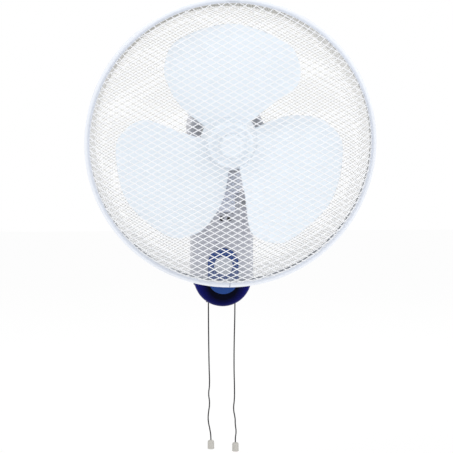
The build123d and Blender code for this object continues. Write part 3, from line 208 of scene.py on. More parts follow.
# ------------------------------------------------------------------ finishes
PAINTED: dict[str, bpy.types.Material] = {}
CLOUD_SCALE, CLOUD_DETAIL, CLOUD_GLOSS = 14.0, 3.0, 0.1
SPECK_DETAIL, SPECK_GLOSS = 2.0, 0.12
COAT_ROUGHNESS = 0.12
BUMP_DISTANCE = 0.0004
BAND_WOBBLE = 0.3
BRAID_SCALE, BRAID_SLANT = 260.0, 0.7
STREAK_STRETCH, STREAK_SHADE = (1.0, 0.05, 1.0), 0.25
PEEL_SCALE, PEEL_SHARE = 0.6, 0.6


class Surface(Enum):
    """How a finish is patterned."""

    MOULDED = "moulded"
    COATED = "coated"
    BRAIDED = "braided"
    BRUSHED = "brushed"
    LAMINATED = "laminated"
    WOUND = "wound"


BAND_SCALES = {Surface.LAMINATED: 2400.0, Surface.WOUND: 1500.0}
CONTRASTS = {
    Surface.BRAIDED: (0.75, 0.5), Surface.LAMINATED: (0.6, 0.4), Surface.WOUND: (0.55, 0.45)
}


@dataclass(frozen=True)
class Finish:
    """One procedural finish: its colour, gloss and the fine relief that it has."""

    name: str
    colour: Colour
    roughness: float
    surface: Surface = Surface.MOULDED
    metallic: float = 0.0
    coat: float = 0.0
    mottle: float = 0.04
    relief: float = 0.05
    grain: float = 900.0
    gloss: float = 0.5
    slot: str = ""
    # edge, middle and reach paint light and shade into the colour: it turns into the edge colour
    # with distance from the middle point.
    edge: Colour | None = None
    middle: Point = (0.0, 0.0, 0.0)
    reach: tuple[float, float] = (0.0, 1.0)

    def material(self) -> bpy.types.Material:
        """The Blender material, built once.

        Returns:
            The material of this name.
        """
        if self.name in PAINTED:
            return PAINTED[self.name]
        made = PAINTED[self.name] = bpy.data.materials.new(self.name)
        made.use_nodes = True
        graph = Graph(made.node_tree)
        place = graph.node("ShaderNodeTexCoord", out="Object")
        cloud = self._noise(graph, place, CLOUD_SCALE, CLOUD_DETAIL)
        speck = self._noise(graph, place, self.grain, SPECK_DETAIL)
        pattern = self._pattern(graph, place)
        shade = self._shade(pattern, cloud, speck)
        height = self._height(graph, place, pattern, speck)
        bump = graph.node(
            "ShaderNodeBump", Height=height, Strength=self.relief, Distance=BUMP_DISTANCE
        )
        colour = graph.node(
            "ShaderNodeMix",
            {"data_type": "RGBA", "blend_type": "MULTIPLY"},
            out=2,
            s0=1.0,
            s6=self._pigment(graph, place),
            s7=graph.node("ShaderNodeCombineColor", s0=shade, s1=shade, s2=shade),
        )
        body = graph.node(
            "ShaderNodeBsdfPrincipled",
            Base_Color=colour,
            Roughness=self.roughness + (speck - 0.5) * SPECK_GLOSS + (cloud - 0.5) * CLOUD_GLOSS,
            Metallic=self.metallic,
            Coat_Weight=self.coat,
            Coat_Roughness=COAT_ROUGHNESS,
            Specular_IOR_Level=self.gloss,
            Normal=bump,
        )
        graph.node("ShaderNodeOutputMaterial", Surface=body)
        return made

    def _pigment(self, graph: Graph, place: Wire) -> Wire | tuple[float, ...]:
        """The plain colour, or one that turns into the edge colour away from a middle point, which
        paints shade and highlight.
        """
        if self.edge is None:
            return (*self.colour, 1.0)
        away = graph.node(
            "ShaderNodeVectorMath", {"operation": "DISTANCE"}, out=1, s0=place, s1=self.middle
        )
        near, far = self.reach
        share = graph.node("ShaderNodeMapRange", Value=away, From_Min=near, From_Max=far)
        return graph.node(
            "ShaderNodeMix",
            {"data_type": "RGBA"},
            out=2,
            s0=share,
            s6=(*self.colour, 1.0),
            s7=(*self.edge, 1.0),
        )

    def _noise(self, graph: Graph, place: Wire, scale: float, detail: float) -> Wire:
        """Noise from nought to one at a scale."""
        return graph.node("ShaderNodeTexNoise", Vector=place, Scale=scale, Detail=detail)

    def _pattern(self, graph: Graph, place: Wire) -> Wire | None:
        """The surface's own pattern, if it has one beyond its noise."""
        if self.surface is Surface.BRAIDED:
            return self._plait(graph, place)
        if self.surface is Surface.BRUSHED:
            return self._streak(graph, place)
        if self.surface in BAND_SCALES:
            return self._bands(graph, place, "Y", BAND_SCALES[self.surface], BAND_WOBBLE)
        return None

    def _shade(self, pattern: Wire | None, cloud: Wire, speck: Wire) -> Wire:
        """How much of the colour shows, from the pattern, the slow and the fine noise."""
        if self.surface in CONTRASTS:
            least, more = CONTRASTS[self.surface]
            return least + pattern * more
        if self.surface is Surface.BRUSHED:
            return 1 - pattern * STREAK_SHADE - cloud * self.mottle
        return 1 + self.mottle / 2 - cloud * self.mottle - speck * (self.mottle / 2)

    def _height(self, graph: Graph, place: Wire, pattern: Wire | None, speck: Wire) -> Wire:
        """Height of the fine relief."""
        if pattern is not None:
            return pattern
        if self.surface is Surface.COATED:
            peel = self._noise(graph, place, self.grain * PEEL_SCALE, 1.0)
            return speck * (1 - PEEL_SHARE) + peel * PEEL_SHARE
        return speck

    def _bands(
        self, graph: Graph, place: Wire, along: str, scale: float, wobble: float = 0.0
    ) -> Wire:
        """Even bands along one direction."""
        settings = {"wave_type": "BANDS", "bands_direction": along}
        return graph.node(
            "ShaderNodeTexWave", settings, 1, Vector=place, Scale=scale, Distortion=wobble
        )

    def _streak(self, graph: Graph, place: Wire) -> Wire:
        """Fine streaks drawn out along one direction."""
        drawn = graph.node("ShaderNodeMapping", Vector=place, Scale=STREAK_STRETCH)
        return self._noise(graph, drawn, self.grain, SPECK_DETAIL)

    def _plait(self, graph: Graph, place: Wire) -> Wire:
        """Crossing bands of a braided cord."""
        bands = []
        for slant in (BRAID_SLANT, -BRAID_SLANT):
            turned = graph.node("ShaderNodeMapping", Vector=place, Rotation=(0.0, slant, 0.0))
            bands.append(self._bands(graph, turned, "X", BRAID_SCALE))
        return (bands[0] + bands[1]) * 0.5


# White plastic mouldings, darkened to grey: painted shade of the housings behind the guards and
# under the head.
WHITE_PAINTED_SHADE = Finish("white_moulding", (0.54, 0.55, 0.615), 0.42, mottle=0.05, relief=0.08, gloss=0.35)
# The same white moulding made brighter for the neck and swing housing: painted light, set against
# the shade that the head casts on them.
NECK_PAINTED_LIGHT = Finish(
    "white_moulding_painted_light", (0.80, 0.835, 0.95), 0.42, mottle=0.05, relief=0.08, gloss=0.35,
    slot="white_moulding",
)
# Navy lower cap: near black in its middle, turning bright blue towards its rim as a painted
# highlight of its glossy curve.
NAVY_WITH_PAINTED_HIGHLIGHT = Finish(
    "navy_moulding", (0.0006, 0.001, 0.009), 0.26, mottle=0.2, relief=0.03, gloss=0.04,
    edge=(0.006, 0.008, 0.17), middle=(0.0, -0.088, -0.0655), reach=(0.024, 0.047),
)
PANEL = Finish("blue_panel", (0.017, 0.060, 0.25), 0.24, mottle=0.2, relief=0.03, gloss=0.12)
# White badge disc, darkened to the same grey as the housings: painted shade.
DISC_PAINTED_SHADE = Finish("pale_disc", (0.55, 0.575, 0.64), 0.34, mottle=0.05, relief=0.05, gloss=0.4)
MESH = Finish(
    "guard_coating", (0.89, 0.90, 0.925), 0.38, Surface.COATED, coat=0.1, relief=0.12, grain=1500
)
# Rear guard's white coating, darkened to grey as painted shade, and darker still away from the top
# of the ring towards the bottom as more painted shade.
BACK_MESH_PAINTED_SHADE = Finish(
    "guard_coating_painted_shade", (0.46, 0.45, 0.42), 0.45, Surface.COATED, relief=0.12, grain=1500,
    slot="guard_coating", edge=(0.29, 0.31, 0.34), middle=(0.0, -0.29, 0.385), reach=(0.25, 0.42),
)
# White guard ring: its inner lip is darker than its outer edge, a painted shade of the recess
# behind the lip.
RIM_WITH_PAINTED_SHADE = Finish(
    "ring_moulding", (0.66, 0.70, 0.78), 0.28, coat=0.3, mottle=0.05, relief=0.05,
    edge=(0.80, 0.83, 0.89), middle=(0.0, -0.2646, 0.1659), reach=(0.2150, 0.2172),
)
BLADE = Finish(
    "blade_moulding", (0.835, 0.895, 0.955), 0.30, coat=0.25, mottle=0.03, relief=0.05
)
KNOB = Finish("knob_moulding", (0.50, 0.485, 0.45), 0.5, mottle=0.1, relief=0.15)
CORD = Finish("cord_braid", (0.006, 0.006, 0.007), 0.8, Surface.BRAIDED, relief=0.6, gloss=0.2)
NYLON = Finish("black_nylon", (0.02, 0.02, 0.022), 0.45, mottle=0.2, relief=0.1)
RUBBER = Finish("gland_rubber", (0.012, 0.012, 0.012), 0.7, mottle=0.3, relief=0.2)
CASE = Finish("switch_case", (0.07, 0.07, 0.075), 0.5, mottle=0.15, relief=0.12)
ZINC = Finish("zinc_steel", (0.45, 0.46, 0.48), 0.35, Surface.BRUSHED, metallic=1.0, relief=0.1)
SCREW = Finish("screw_steel", (0.11, 0.11, 0.12), 0.38, Surface.BRUSHED, metallic=1.0, relief=0.1)
SHAFT = Finish("shaft_steel", (0.5, 0.51, 0.53), 0.2, Surface.BRUSHED, metallic=1.0, relief=0.06)
IRON = Finish("lamination", (0.12, 0.12, 0.13), 0.5, Surface.LAMINATED, metallic=1.0, relief=0.4)
COPPER = Finish("copper_wire", (0.42, 0.16, 0.05), 0.35, Surface.WOUND, metallic=1.0, relief=0.6)
BRONZE = Finish("bronze", (0.42, 0.27, 0.11), 0.45, metallic=1.0, mottle=0.2, relief=0.15)
FINISHES = {
    finish.name: finish
    for finish in (
        WHITE_PAINTED_SHADE, NAVY_WITH_PAINTED_HIGHLIGHT, PANEL, DISC_PAINTED_SHADE, MESH, RIM_WITH_PAINTED_SHADE, BLADE, KNOB, CORD, NYLON, RUBBER, CASE,
        ZINC, SCREW, SHAFT, IRON, COPPER, BRONZE,
    )
}


# ------------------------------------------------------------------ mesh making
MERGE = 1e-4
ON_AXIS = 0.001
CAD_MERGE, CAD_SLIVER = 2e-6, 1e-6
CAD_FLAT = math.radians(0.6)
CAD_SMOOTH = 40
BEVEL_SEGMENTS = 3
TURN_STEPS = 96
BEVEL_CORNER = math.radians(32)


def put_in_scene(name: str, data: bpy.types.ID | None) -> bpy.types.Object:
    """A new object of this name, linked to the scene."""
    piece = bpy.data.objects.new(name, data)
    bpy.context.scene.collection.objects.link(piece)
    return piece


def applied(carrier: bpy.types.Object) -> bpy.types.Mesh:
    """The mesh that an object's modifiers make; the object itself is removed."""
    seen = bpy.context.evaluated_depsgraph_get()
    seen.update()
    mesh = bpy.data.meshes.new_from_object(carrier.evaluated_get(seen))
    bpy.data.objects.remove(carrier)
    return mesh


def new_mesh(name: str, points: Sequence[Point], faces: Sequence[Sequence[int]]) -> bpy.types.Mesh:
    """Mesh from points and faces, its doubles merged and its normals outward.

    Args:
        name: The mesh's name.
        points: Corners in local millimetres.
        faces: Corner numbers of each face.

    Returns:
        The new mesh.
    """
    mesh = bpy.data.meshes.new(name)
    mesh.from_pydata([tuple(p) for p in points], [], [tuple(f) for f in faces])
    tidy_mesh(mesh)
    return mesh


def tidy_mesh(mesh: bpy.types.Mesh) -> None:
    """Merges doubles, drops collapsed faces and turns the normals outward."""
    work = bmesh.new()
    work.from_mesh(mesh)
    bmesh.ops.remove_doubles(work, verts=work.verts, dist=MERGE)
    bmesh.ops.dissolve_degenerate(work, edges=work.edges, dist=MERGE)
    bmesh.ops.recalc_face_normals(work, faces=work.faces)
    work.to_mesh(mesh)
    work.free()


def smooth(mesh: bpy.types.Mesh, degrees: float = 35.0) -> None:
    """Shades a mesh smooth, apart from edges sharper than the angle."""
    mesh.polygons.foreach_set("use_smooth", [True] * len(mesh.polygons))
    mesh.set_sharp_from_angle(angle=math.radians(degrees))


def lathe(profile: Sequence[Spot], steps: int) -> tuple[list, list]:
    """Turns a closed profile once round the local ahead axis.

    Args:
        profile: Corners as (ahead, radius), round the closed outline.
        steps: How many slices the turn has.

    Returns:
        Points and faces.
    """
    points, faces = [], []
    size = len(profile)
    for number in range(steps):
        angle = TAU * number / steps
        points += [(r * math.cos(angle), r * math.sin(angle), a) for a, r in profile]
        here, there = number * size, (number + 1) % steps * size
        for corner in range(size):
            after = (corner + 1) % size
            faces.append((here + corner, here + after, there + after, there + corner))
    return points, faces


def arc(centre: Spot, radius: float, first: float, last: float, steps: int) -> list[Spot]:
    """Points of an arc in the (ahead, radius) plane, angles in degrees from ahead."""
    spots = []
    for number in range(steps + 1):
        angle = math.radians(first + (last - first) * number / steps)
        spots.append((centre[0] + radius * math.cos(angle), centre[1] + radius * math.sin(angle)))
    return spots


def add_piece(
    name: str,
    mesh: bpy.types.Mesh,
    finish: Finish,
    body: str,
    replaced: Iterable[str] = (),
    stance: Stance | None = None,
) -> bpy.types.Object:
    """Puts a finished mesh into the scene, on its body.

    Args:
        name: The piece's name.
        mesh: Its mesh, in the stance's millimetres, or in metres without one.
        finish: The finish that it wears.
        body: The CAD body that it rides on.
        replaced: CAD nodes that it stands for.
        stance: Where the mesh belongs.

    Returns:
        The piece.
    """
    if stance is not None:
        mesh.transform(stance.matrix())
    mesh.materials.clear()
    mesh.materials.append(finish.material())
    piece = put_in_scene(name, mesh)
    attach(piece, body)
    if replaced:
        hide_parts(*replaced)
    log.info("%s rides on %s, %d faces", name, body, len(mesh.polygons))
    return piece


def softened(node: str, width: float) -> bpy.types.Mesh:
    """A CAD node's mesh with its sharp edges rounded and its flats shaded flat.

    Args:
        node: The CAD node.
        width: Size of the rounding in millimetres.

    Returns:
        A plain mesh, the modifiers behind it applied.
    """
    work = bmesh.new()
    work.from_mesh(frame["nodes"][node].data)
    bmesh.ops.remove_doubles(work, verts=work.verts, dist=CAD_MERGE)
    bmesh.ops.dissolve_degenerate(work, edges=work.edges, dist=CAD_SLIVER)
    bmesh.ops.dissolve_limit(work, angle_limit=CAD_FLAT, verts=work.verts, edges=work.edges)
    whole = bpy.data.meshes.new(node + "_whole")
    work.to_mesh(whole)
    work.free()
    smooth(whole, CAD_SMOOTH)
    carrier = put_in_scene(whole.name, whole)
    edges = carrier.modifiers.new("edges", "BEVEL")
    edges.width, edges.segments = width * MM, BEVEL_SEGMENTS
    edges.limit_method, edges.angle_limit = "ANGLE", BEVEL_CORNER
    edges.use_clamp_overlap, edges.miter_outer = True, "MITER_ARC"
    carrier.modifiers.new("shading", "WEIGHTED_NORMAL").keep_sharp = True
    mesh = applied(carrier)
    mesh.name = node + "_finished"
    return mesh


@dataclass
class Assembly:
    """Pieces with their edge rounding in millimetres, and any finish of their own."""

    title: str
    edges: dict[str, float]
    special: dict[str, Finish] = field(default_factory=dict)

    def build(self) -> None:
        """Dresses every piece and reports the sub-assembly."""
        for node, width in self.edges.items():
            self.dress(node, width)
        log.info("%s: %d pieces with rounded edges", self.title, len(self.edges))

    def dress(self, node: str, width: float) -> None:
        """Gives one CAD node rounded edges and its own finish or its slot's."""
        mesh = softened(node, width)
        finish = self.special.get(node, FINISHES[SLOT_OF[node]])
        add_piece(mesh.name, mesh, finish, BODY_OF[node], [node])


class NodeShape:
    """A Geometry Nodes shape: named inputs, a graph to fill, and a plain mesh at the end."""

    def __init__(self, name: str, sizes: dict[str, Number], finish: Finish) -> None:
        """Makes the tree with one input for each size.

        Args:
            name: Name of the tree and its mesh.
            sizes: Input names and values, whole numbers for counts.
            finish: The finish that Set Material gives it.
        """
        self.name = name
        self.sizes = sizes
        self.finish = finish
        tree = bpy.data.node_groups.new(name, "GeometryNodeTree")
        tree.interface.new_socket(
            name="Geometry", in_out="OUTPUT", socket_type="NodeSocketGeometry"
        )
        self.keys = {}
        for label, value in sizes.items():
            kind = "NodeSocketInt" if isinstance(value, int) else "NodeSocketFloat"
            made = tree.interface.new_socket(name=label, in_out="INPUT", socket_type=kind)
            self.keys[label] = made.identifier
        self.graph = Graph(tree)
        source = tree.nodes.new("NodeGroupInput")
        self.inputs = {label: Wire(self.graph, source.outputs[label]) for label in sizes}

    def mesh(self, *shapes: Wire) -> bpy.types.Mesh:
        """Ends the tree and evaluates it.

        Args:
            *shapes: The geometries that the tree has built.

        Returns:
            A plain mesh with no modifier behind it.
        """
        graph = self.graph
        joined = graph.node("GeometryNodeJoinGeometry", s0=list(shapes))
        paint = self.finish.material()
        dressed = graph.node("GeometryNodeSetMaterial", Geometry=joined, Material=paint)
        graph.node("NodeGroupOutput", s0=dressed)
        carrier = put_in_scene(self.name, bpy.data.meshes.new(self.name))
        modifier = carrier.modifiers.new("shape", "NODES")
        modifier.node_group = graph.tree
        for label, value in self.sizes.items():
            modifier[self.keys[label]] = value
        return applied(carrier)


# ------------------------------------------------------------------ guards
@dataclass
class Guards:
    """The two mesh guards with their rims."""

    strand_angle: float = 28.9
    strand_spacing: float = 8.3
    strand_radius: float = 0.74
    back_strand_spacing: float = 4.15
    back_strand_radius: float = 0.22
    strand_sides: int = 5
    strand_points: int = 46
    dome_height: float = 47.3
    dome_radius: float = 1478.7
    dome_edge: float = 188.0
    shoulder_radius: float = 31.8
    shoulder_centre: float = 180.5
    rim_ahead: float = 5.1
    net_radius: float = 212.2
    rim_radius: float = 213.2
    rim_middle: float = 4.4
    rim_wire: float = 1.7
    basket_flat: float = -71.2
    basket_bend: tuple = (
        (-68.2, 184.0), (-66.2, 190.5), (-61.4, 196.4),
        (-55.5, 201.0), (-49.2, 204.2), (-30.0, 207.5),
    )
    depth_unit: float = -100.0
    near_axis: float = 0.01
    plate_front: float = -70.4
    plate_sheet: float = 1.6
    plate_radius: float = 40.0
    plate_bore: float = 20.0
    bead_radius: float = 35.5
    bead_half: float = 2.5
    bead_rise: float = 0.8
    hoop_wire: float = 1.3
    hoop_steps: int = 240
    hoop_sides: int = 12

    def build(self) -> None:
        """Builds both guards."""
        self.front()
        self.rear()
        self.centre_plate()

    def _net(
        self, name: str, finish: Finish, reach: float, spacing: float, strand: float
    ) -> tuple[NodeShape, Wire, Wire, Wire, Wire]:
        """A flat sheet of points, one row of points to a strand.

        Args:
            name: The net's name.
            finish: The finish that it wears.
            reach: Radius of the flat sheet.
            spacing: Distance between neighbouring strands.
            strand: Radius of a strand.

        Returns:
            The shape with the points in it, their geometry and rows, and their flat x and y.
        """
        sizes = {
            "Points": self.strand_points,
            "Spacing": spacing,
            "Angle": math.radians(self.strand_angle),
            "Strand": strand,
            "Reach": reach,
        }
        shape = NodeShape(name, sizes, finish)
        graph, put = shape.graph, shape.inputs
        half_rows = int(reach // spacing)
        rows = 2 * half_rows + 1
        index = graph.node("GeometryNodeInputIndex")
        step = index % put["Points"]
        row = graph.math("FLOOR", (index + 0.5) / put["Points"])
        family = graph.math("FLOOR", (row + 0.5) / rows)
        aside = (row - family * rows - half_rows) * put["Spacing"]
        share = graph.math("SINE", (step / (put["Points"] - 1) - 0.5) * math.pi)
        along = share * graph.root(put["Reach"] * put["Reach"] - aside * aside)
        slant = (1 - family * 2) * put["Angle"]
        cosine, sine = graph.math("COSINE", slant), graph.math("SINE", slant)
        cloud = graph.node("GeometryNodePoints", Count=put["Points"] * (2 * rows))
        return shape, cloud, row, along * cosine - aside * sine, along * sine + aside * cosine

    def _strands(self, shape: NodeShape, cloud: Wire, row: Wire, spot: Wire) -> Wire:
        """Turns rows of points, moved to their spots, into round strands."""
        graph = shape.graph
        laid = graph.node("GeometryNodeSetPosition", Geometry=cloud, Position=spot)
        lines = graph.node("GeometryNodePointsToCurves", Points=laid, Curve_Group_ID=row)
        return self._swept(graph, lines, self.strand_sides, shape.inputs["Strand"])

    def _swept(self, graph: Graph, line: Wire, sides: int, wire: Term) -> Wire:
        """Sweeps a round section along curves, shaded smooth."""
        section = graph.node("GeometryNodeCurvePrimitiveCircle", Resolution=sides, Radius=wire)
        swept = graph.node(
            "GeometryNodeCurveToMesh", Curve=line, Profile_Curve=section, Fill_Caps=True
        )
        return graph.node("GeometryNodeSetShadeSmooth", s0=swept, s2=True)

    def _hoop(self, graph: Graph, radius: float, ahead: float, wire: float) -> Wire:
        """A round wire hoop round the fan's axis."""
        loop = graph.node(
            "GeometryNodeCurvePrimitiveCircle", Resolution=self.hoop_steps, Radius=radius
        )
        placed = graph.node("GeometryNodeSetPosition", Geometry=loop, Offset=(0.0, 0.0, ahead))
        return self._swept(graph, placed, self.hoop_sides, wire)

    def front(self) -> None:
        """Domed front guard: strands straight in plan, lifted on to the dome."""
        shape, cloud, row, x, y = self._net(
            "front_guard_mesh", MESH, self.net_radius, self.strand_spacing, self.strand_radius
        )
        graph = shape.graph
        squared = x * x + y * y
        radius = graph.root(squared)
        dome = self.dome_height - self.dome_radius + graph.root(self.dome_radius**2 - squared)
        out = radius - self.shoulder_centre
        shoulder = self.rim_ahead + graph.root(self.shoulder_radius**2 - out * out)
        past = radius > self.dome_edge
        height = dome * (1 - past) + shoulder * past
        strands = self._strands(shape, cloud, row, graph.vector(x, y, height))
        rim = self._hoop(graph, self.rim_radius, self.rim_middle, self.rim_wire)
        mesh = shape.mesh(strands, rim)
        add_piece("front_guard_mesh", mesh, MESH, "head", ["front_guard"], RING)

    def _basket(self) -> list[Spot]:
        """Half section of the basket as (ahead, radius), from its centre to its rim."""
        flat = [(self.basket_flat, 0.0), (self.basket_flat, self.plate_radius)]
        return [*flat, *self.basket_bend, (-self.rim_ahead, self.net_radius)]

    def rear(self) -> None:
        """Basket of the rear guard: a flat sheet drawn down over the basket's section."""
        section = self._basket()
        lengths = [0.0]
        for before, after in zip(section, section[1:]):
            lengths.append(lengths[-1] + math.dist(before, after))
        reach = lengths[-1]
        shape, cloud, row, x, y = self._net(
            "rear_guard_mesh", BACK_MESH_PAINTED_SHADE, reach, self.back_strand_spacing, self.back_strand_radius
        )
        graph = shape.graph
        flat = graph.root(x * x + y * y)
        places = [length / reach for length in lengths]
        wide = self._follow(graph, flat / reach, places, [r / reach for _, r in section])
        deep = self._follow(graph, flat / reach, places, [a / self.depth_unit for a, _ in section])
        scale = wide * reach / graph.math("MAXIMUM", flat, self.near_axis)
        spot = graph.vector(x * scale, y * scale, deep * self.depth_unit)
        strands = self._holed(graph, self._strands(shape, cloud, row, spot))
        rim = self._hoop(graph, self.rim_radius, -self.rim_middle, self.rim_wire)
        hoop = self._hoop(graph, self.plate_radius, self.basket_flat, self.hoop_wire)
        mesh = shape.mesh(strands, rim, hoop)
        add_piece("rear_guard_mesh", mesh, BACK_MESH_PAINTED_SHADE, "head", ["rear_guard"], RING)

    def _follow(self, graph: Graph, share: Wire, places: list[float], values: list[float]) -> Wire:
        """A float curve through the given places and values."""
        made = graph.tree.nodes.new("ShaderNodeFloatCurve")
        graph.feed(made.inputs["Value"], share)
        line = made.mapping.curves[0]
        for place, value in zip(places[1:-1], values[1:-1]):
            line.points.new(place, value)
        line.points[0].location = (places[0], values[0])
        line.points[-1].location = (places[-1], values[-1])
        for point in line.points:
            point.handle_type = "VECTOR"
        made.mapping.update()
        return Wire(graph, made.outputs[0])

    def _holed(self, graph: Graph, strands: Wire) -> Wire:
        """Cuts the strands off under the centre plate, clear of the shaft."""
        place = graph.node("GeometryNodeInputPosition")
        level = graph.node(
            "ShaderNodeVectorMath", {"operation": "MULTIPLY"}, s0=place, s1=(1.0, 1.0, 0.0)
        )
        radius = graph.node("ShaderNodeVectorMath", {"operation": "LENGTH"}, "Value", s0=level)
        inside = radius < (self.plate_bore + self.plate_radius) / 2
        return graph.node(
            "GeometryNodeDeleteGeometry", {"domain": "FACE"}, Geometry=strands, Selection=inside
        )

    def centre_plate(self) -> None:
        """Pressed plate in the middle of the basket, with a raised bead."""
        front, bead, half = self.plate_front, self.bead_radius, self.bead_half
        top = [(front, self.plate_bore), (front, bead - half), (front + self.bead_rise, bead)]
        top += [(front, bead + half), (front, self.plate_radius)]
        under = [(ahead - self.plate_sheet, radius) for ahead, radius in reversed(top)]
        mesh = new_mesh("rear_guard_plate", *lathe(top + under, TURN_STEPS))
        smooth(mesh, degrees=50)
        add_piece("rear_guard_plate", mesh, BACK_MESH_PAINTED_SHADE, "head", stance=RING)


# ------------------------------------------------------------------ blade
@dataclass
class Blade:
    """Three leaves on a hub, with the spinner that locks them."""

    leaves: int = 3
    thickness: float = 2.2
    middle: float = -8.0
    camber: float = 7.0
    half_span: float = 130.0
    root: float = 38.0
    swell: float = 1.2
    swell_reach: float = 9.0
    rows: int = 34
    columns: int = 34
    edge_steps: int = 24
    rises: tuple = ((18.0, 0.34), (60.0, 0.28), (105.0, 0.21), (150.0, 0.17), (190.0, 0.15))
    outline: tuple = (
        (-60, 38), (-55, 87), (-48.5, 123), (-41, 152), (-27, 174), (0, 180),
        (27, 174), (38.8, 160), (46.2, 139), (47.2, 118), (44.5, 83), (40, 38),
    )
    hub_radius: float = 35.0
    hub_skirt: float = 44.5
    hub_front: float = 10.0
    hub_back: float = -30.0
    hub_wall: float = 3.0
    hub_tube: float = 9.0
    hub_tube_back: float = -29.0
    hub_bore: float = 4.05
    hub_groove: tuple = ((0.0, 20.0), (0.5, 20.6), (0.5, 27.0), (0.0, 27.6))
    skirt_rim: tuple = ((2.6, 0.6), (2.4, 0.0), (0.6, 0.0), (0.0, 0.6), (0.0, 3.0))
    spinner_back: float = 10.3
    spinner_front: float = 25.0
    spinner_radius: float = 19.0
    spinner_round: float = 5.0
    spinner_edge: float = 0.4
    spinner_bore: float = 3.05
    spinner_wall: float = 3.0
    spinner_rows: tuple = (2.0, 3.2, 4.4, 5.6, 6.8, 8.0)
    spinner_dish: tuple = ((0.0, 12.0), (0.5, 11.4), (0.5, 4.0), (0.2, ON_AXIS))
    grooves: int = 12
    groove_depth: float = 1.7
    groove_above: float = 3.0
    groove_fade: float = 4.0
    groove_band: float = 2.0

    def build(self) -> None:
        """Builds the leaves with their hub, then the spinner."""
        points, faces = [], []
        for number in range(self.leaves):
            self._join(points, faces, self._leaf(number * TAU / self.leaves))
        self._join(points, faces, self._hub())
        mesh = new_mesh("fan_leaves", points, faces)
        smooth(mesh, degrees=40)
        add_piece("fan_leaves", mesh, BLADE, "rotor", ["fan_blade"], RING)
        self.spinner()

    def _join(self, points: list, faces: list, more: tuple) -> None:
        """Adds one shape's points and faces to a list of them."""
        base = len(points)
        points += more[0]
        faces += [tuple(base + corner for corner in face) for face in more[1]]

    def _outline(self) -> np.ndarray:
        """The leaf's edge as a smooth line of (x, y), root to tip to root."""
        spots = [
            (r * math.sin(math.radians(d)), r * math.cos(math.radians(d))) for d, r in self.outline
        ]
        spots = np.array([spots[0], *spots, spots[-1]], float)
        line = []
        for p0, p1, p2, p3 in zip(spots, spots[1:], spots[2:], spots[3:]):
            for t in np.linspace(0, 1, self.edge_steps, endpoint=False):
                bent = 2 * p1 + (p2 - p0) * t + (2 * p0 - 5 * p1 + 4 * p2 - p3) * t**2
                line.append((bent + (3 * p1 - p0 - 3 * p2 + p3) * t**3) / 2)
        line.append(spots[-1])
        return np.array(line)

    def _depth(self, x: np.ndarray, y: np.ndarray) -> np.ndarray:
        """How far ahead the leaf's middle surface is, over the leaf's plan."""
        heights, rises = zip(*self.rises)
        rise = np.polyval(np.polyfit(heights, rises, 3), np.clip(y, heights[0], heights[-1]))
        bow = self.camber * (1 - (x / self.half_span) ** 2)
        return self.middle + self.thickness / 2 + rise * x - bow

    def _leaf(self, turn: float) -> tuple[list, list]:
        """One leaf as a closed shell with rounded edges, thicker at its root."""
        edge = self._outline()
        angles, radii = np.arctan2(edge[:, 0], edge[:, 1]), np.hypot(*edge.T)
        top = int(np.argmax(radii))
        climb = np.sin(np.linspace(0, math.pi / 2, self.rows))
        levels = self.root + (radii[top] - self.root) * climb
        low = np.interp(levels, radii[: top + 1], angles[: top + 1])
        high = np.interp(levels, radii[top:][::-1], angles[top:][::-1])
        share = 0.5 - 0.5 * np.cos(np.linspace(0, math.pi, self.columns))
        theta = low[:, None] + (high - low)[:, None] * share[None, :]
        x, y = levels[:, None] * np.sin(theta), levels[:, None] * np.cos(theta)
        flat = np.stack([x.ravel(), y.ravel()], 1)
        apart = np.linalg.norm(flat[:, None, :] - edge[None, :, :], axis=2)
        gap = np.min(apart, axis=1).reshape(x.shape)
        gap[:, 0] = gap[:, -1] = gap[-1, :] = 0
        half = self.thickness / 2
        round_in = np.clip(gap / half, 0, 1)
        near_root = np.exp(-((levels - self.root) / self.swell_reach) ** 2)
        swell = 1 + self.swell * near_root[:, None]
        body = half * np.sqrt(1 - (1 - round_in) ** 2) * swell
        depth = self._depth(x, y)
        cosine, sine = math.cos(turn), math.sin(turn)
        points = []
        for side in (1, -1):
            for px, py, pz in zip(x.ravel(), y.ravel(), (depth + side * body).ravel()):
                points.append((px * cosine + py * sine, py * cosine - px * sine, pz))
        faces, wide, sheet = [], self.columns, self.rows * self.columns
        for row in range(self.rows - 1):
            for column in range(wide - 1):
                a = row * wide + column
                quad = (a, a + 1, a + wide + 1, a + wide)
                faces += [quad, tuple(sheet + corner for corner in reversed(quad))]
        for column in range(wide - 1):
            faces.append((column, sheet + column, sheet + column + 1, column + 1))
        return points, faces

    def _hub(self) -> tuple[list, list]:
        """Hub of the leaves: a cup with a rounded front and a tube for the shaft."""
        front, back, radius, wall = self.hub_front, self.hub_back, self.hub_radius, self.hub_wall
        shell = [(front, self.hub_bore)]
        shell += [(front - depth, ring) for depth, ring in self.hub_groove]
        shell += arc((front - wall, radius - wall), wall, 0, 90, 6)
        shell += [(back + ahead, self.hub_skirt - inward) for ahead, inward in self.skirt_rim]
        shell += [(front - wall, radius - wall), (front - wall, self.hub_tube)]
        shell += [(self.hub_tube_back, self.hub_tube), (self.hub_tube_back, self.hub_bore)]
        return lathe(shell, TURN_STEPS)

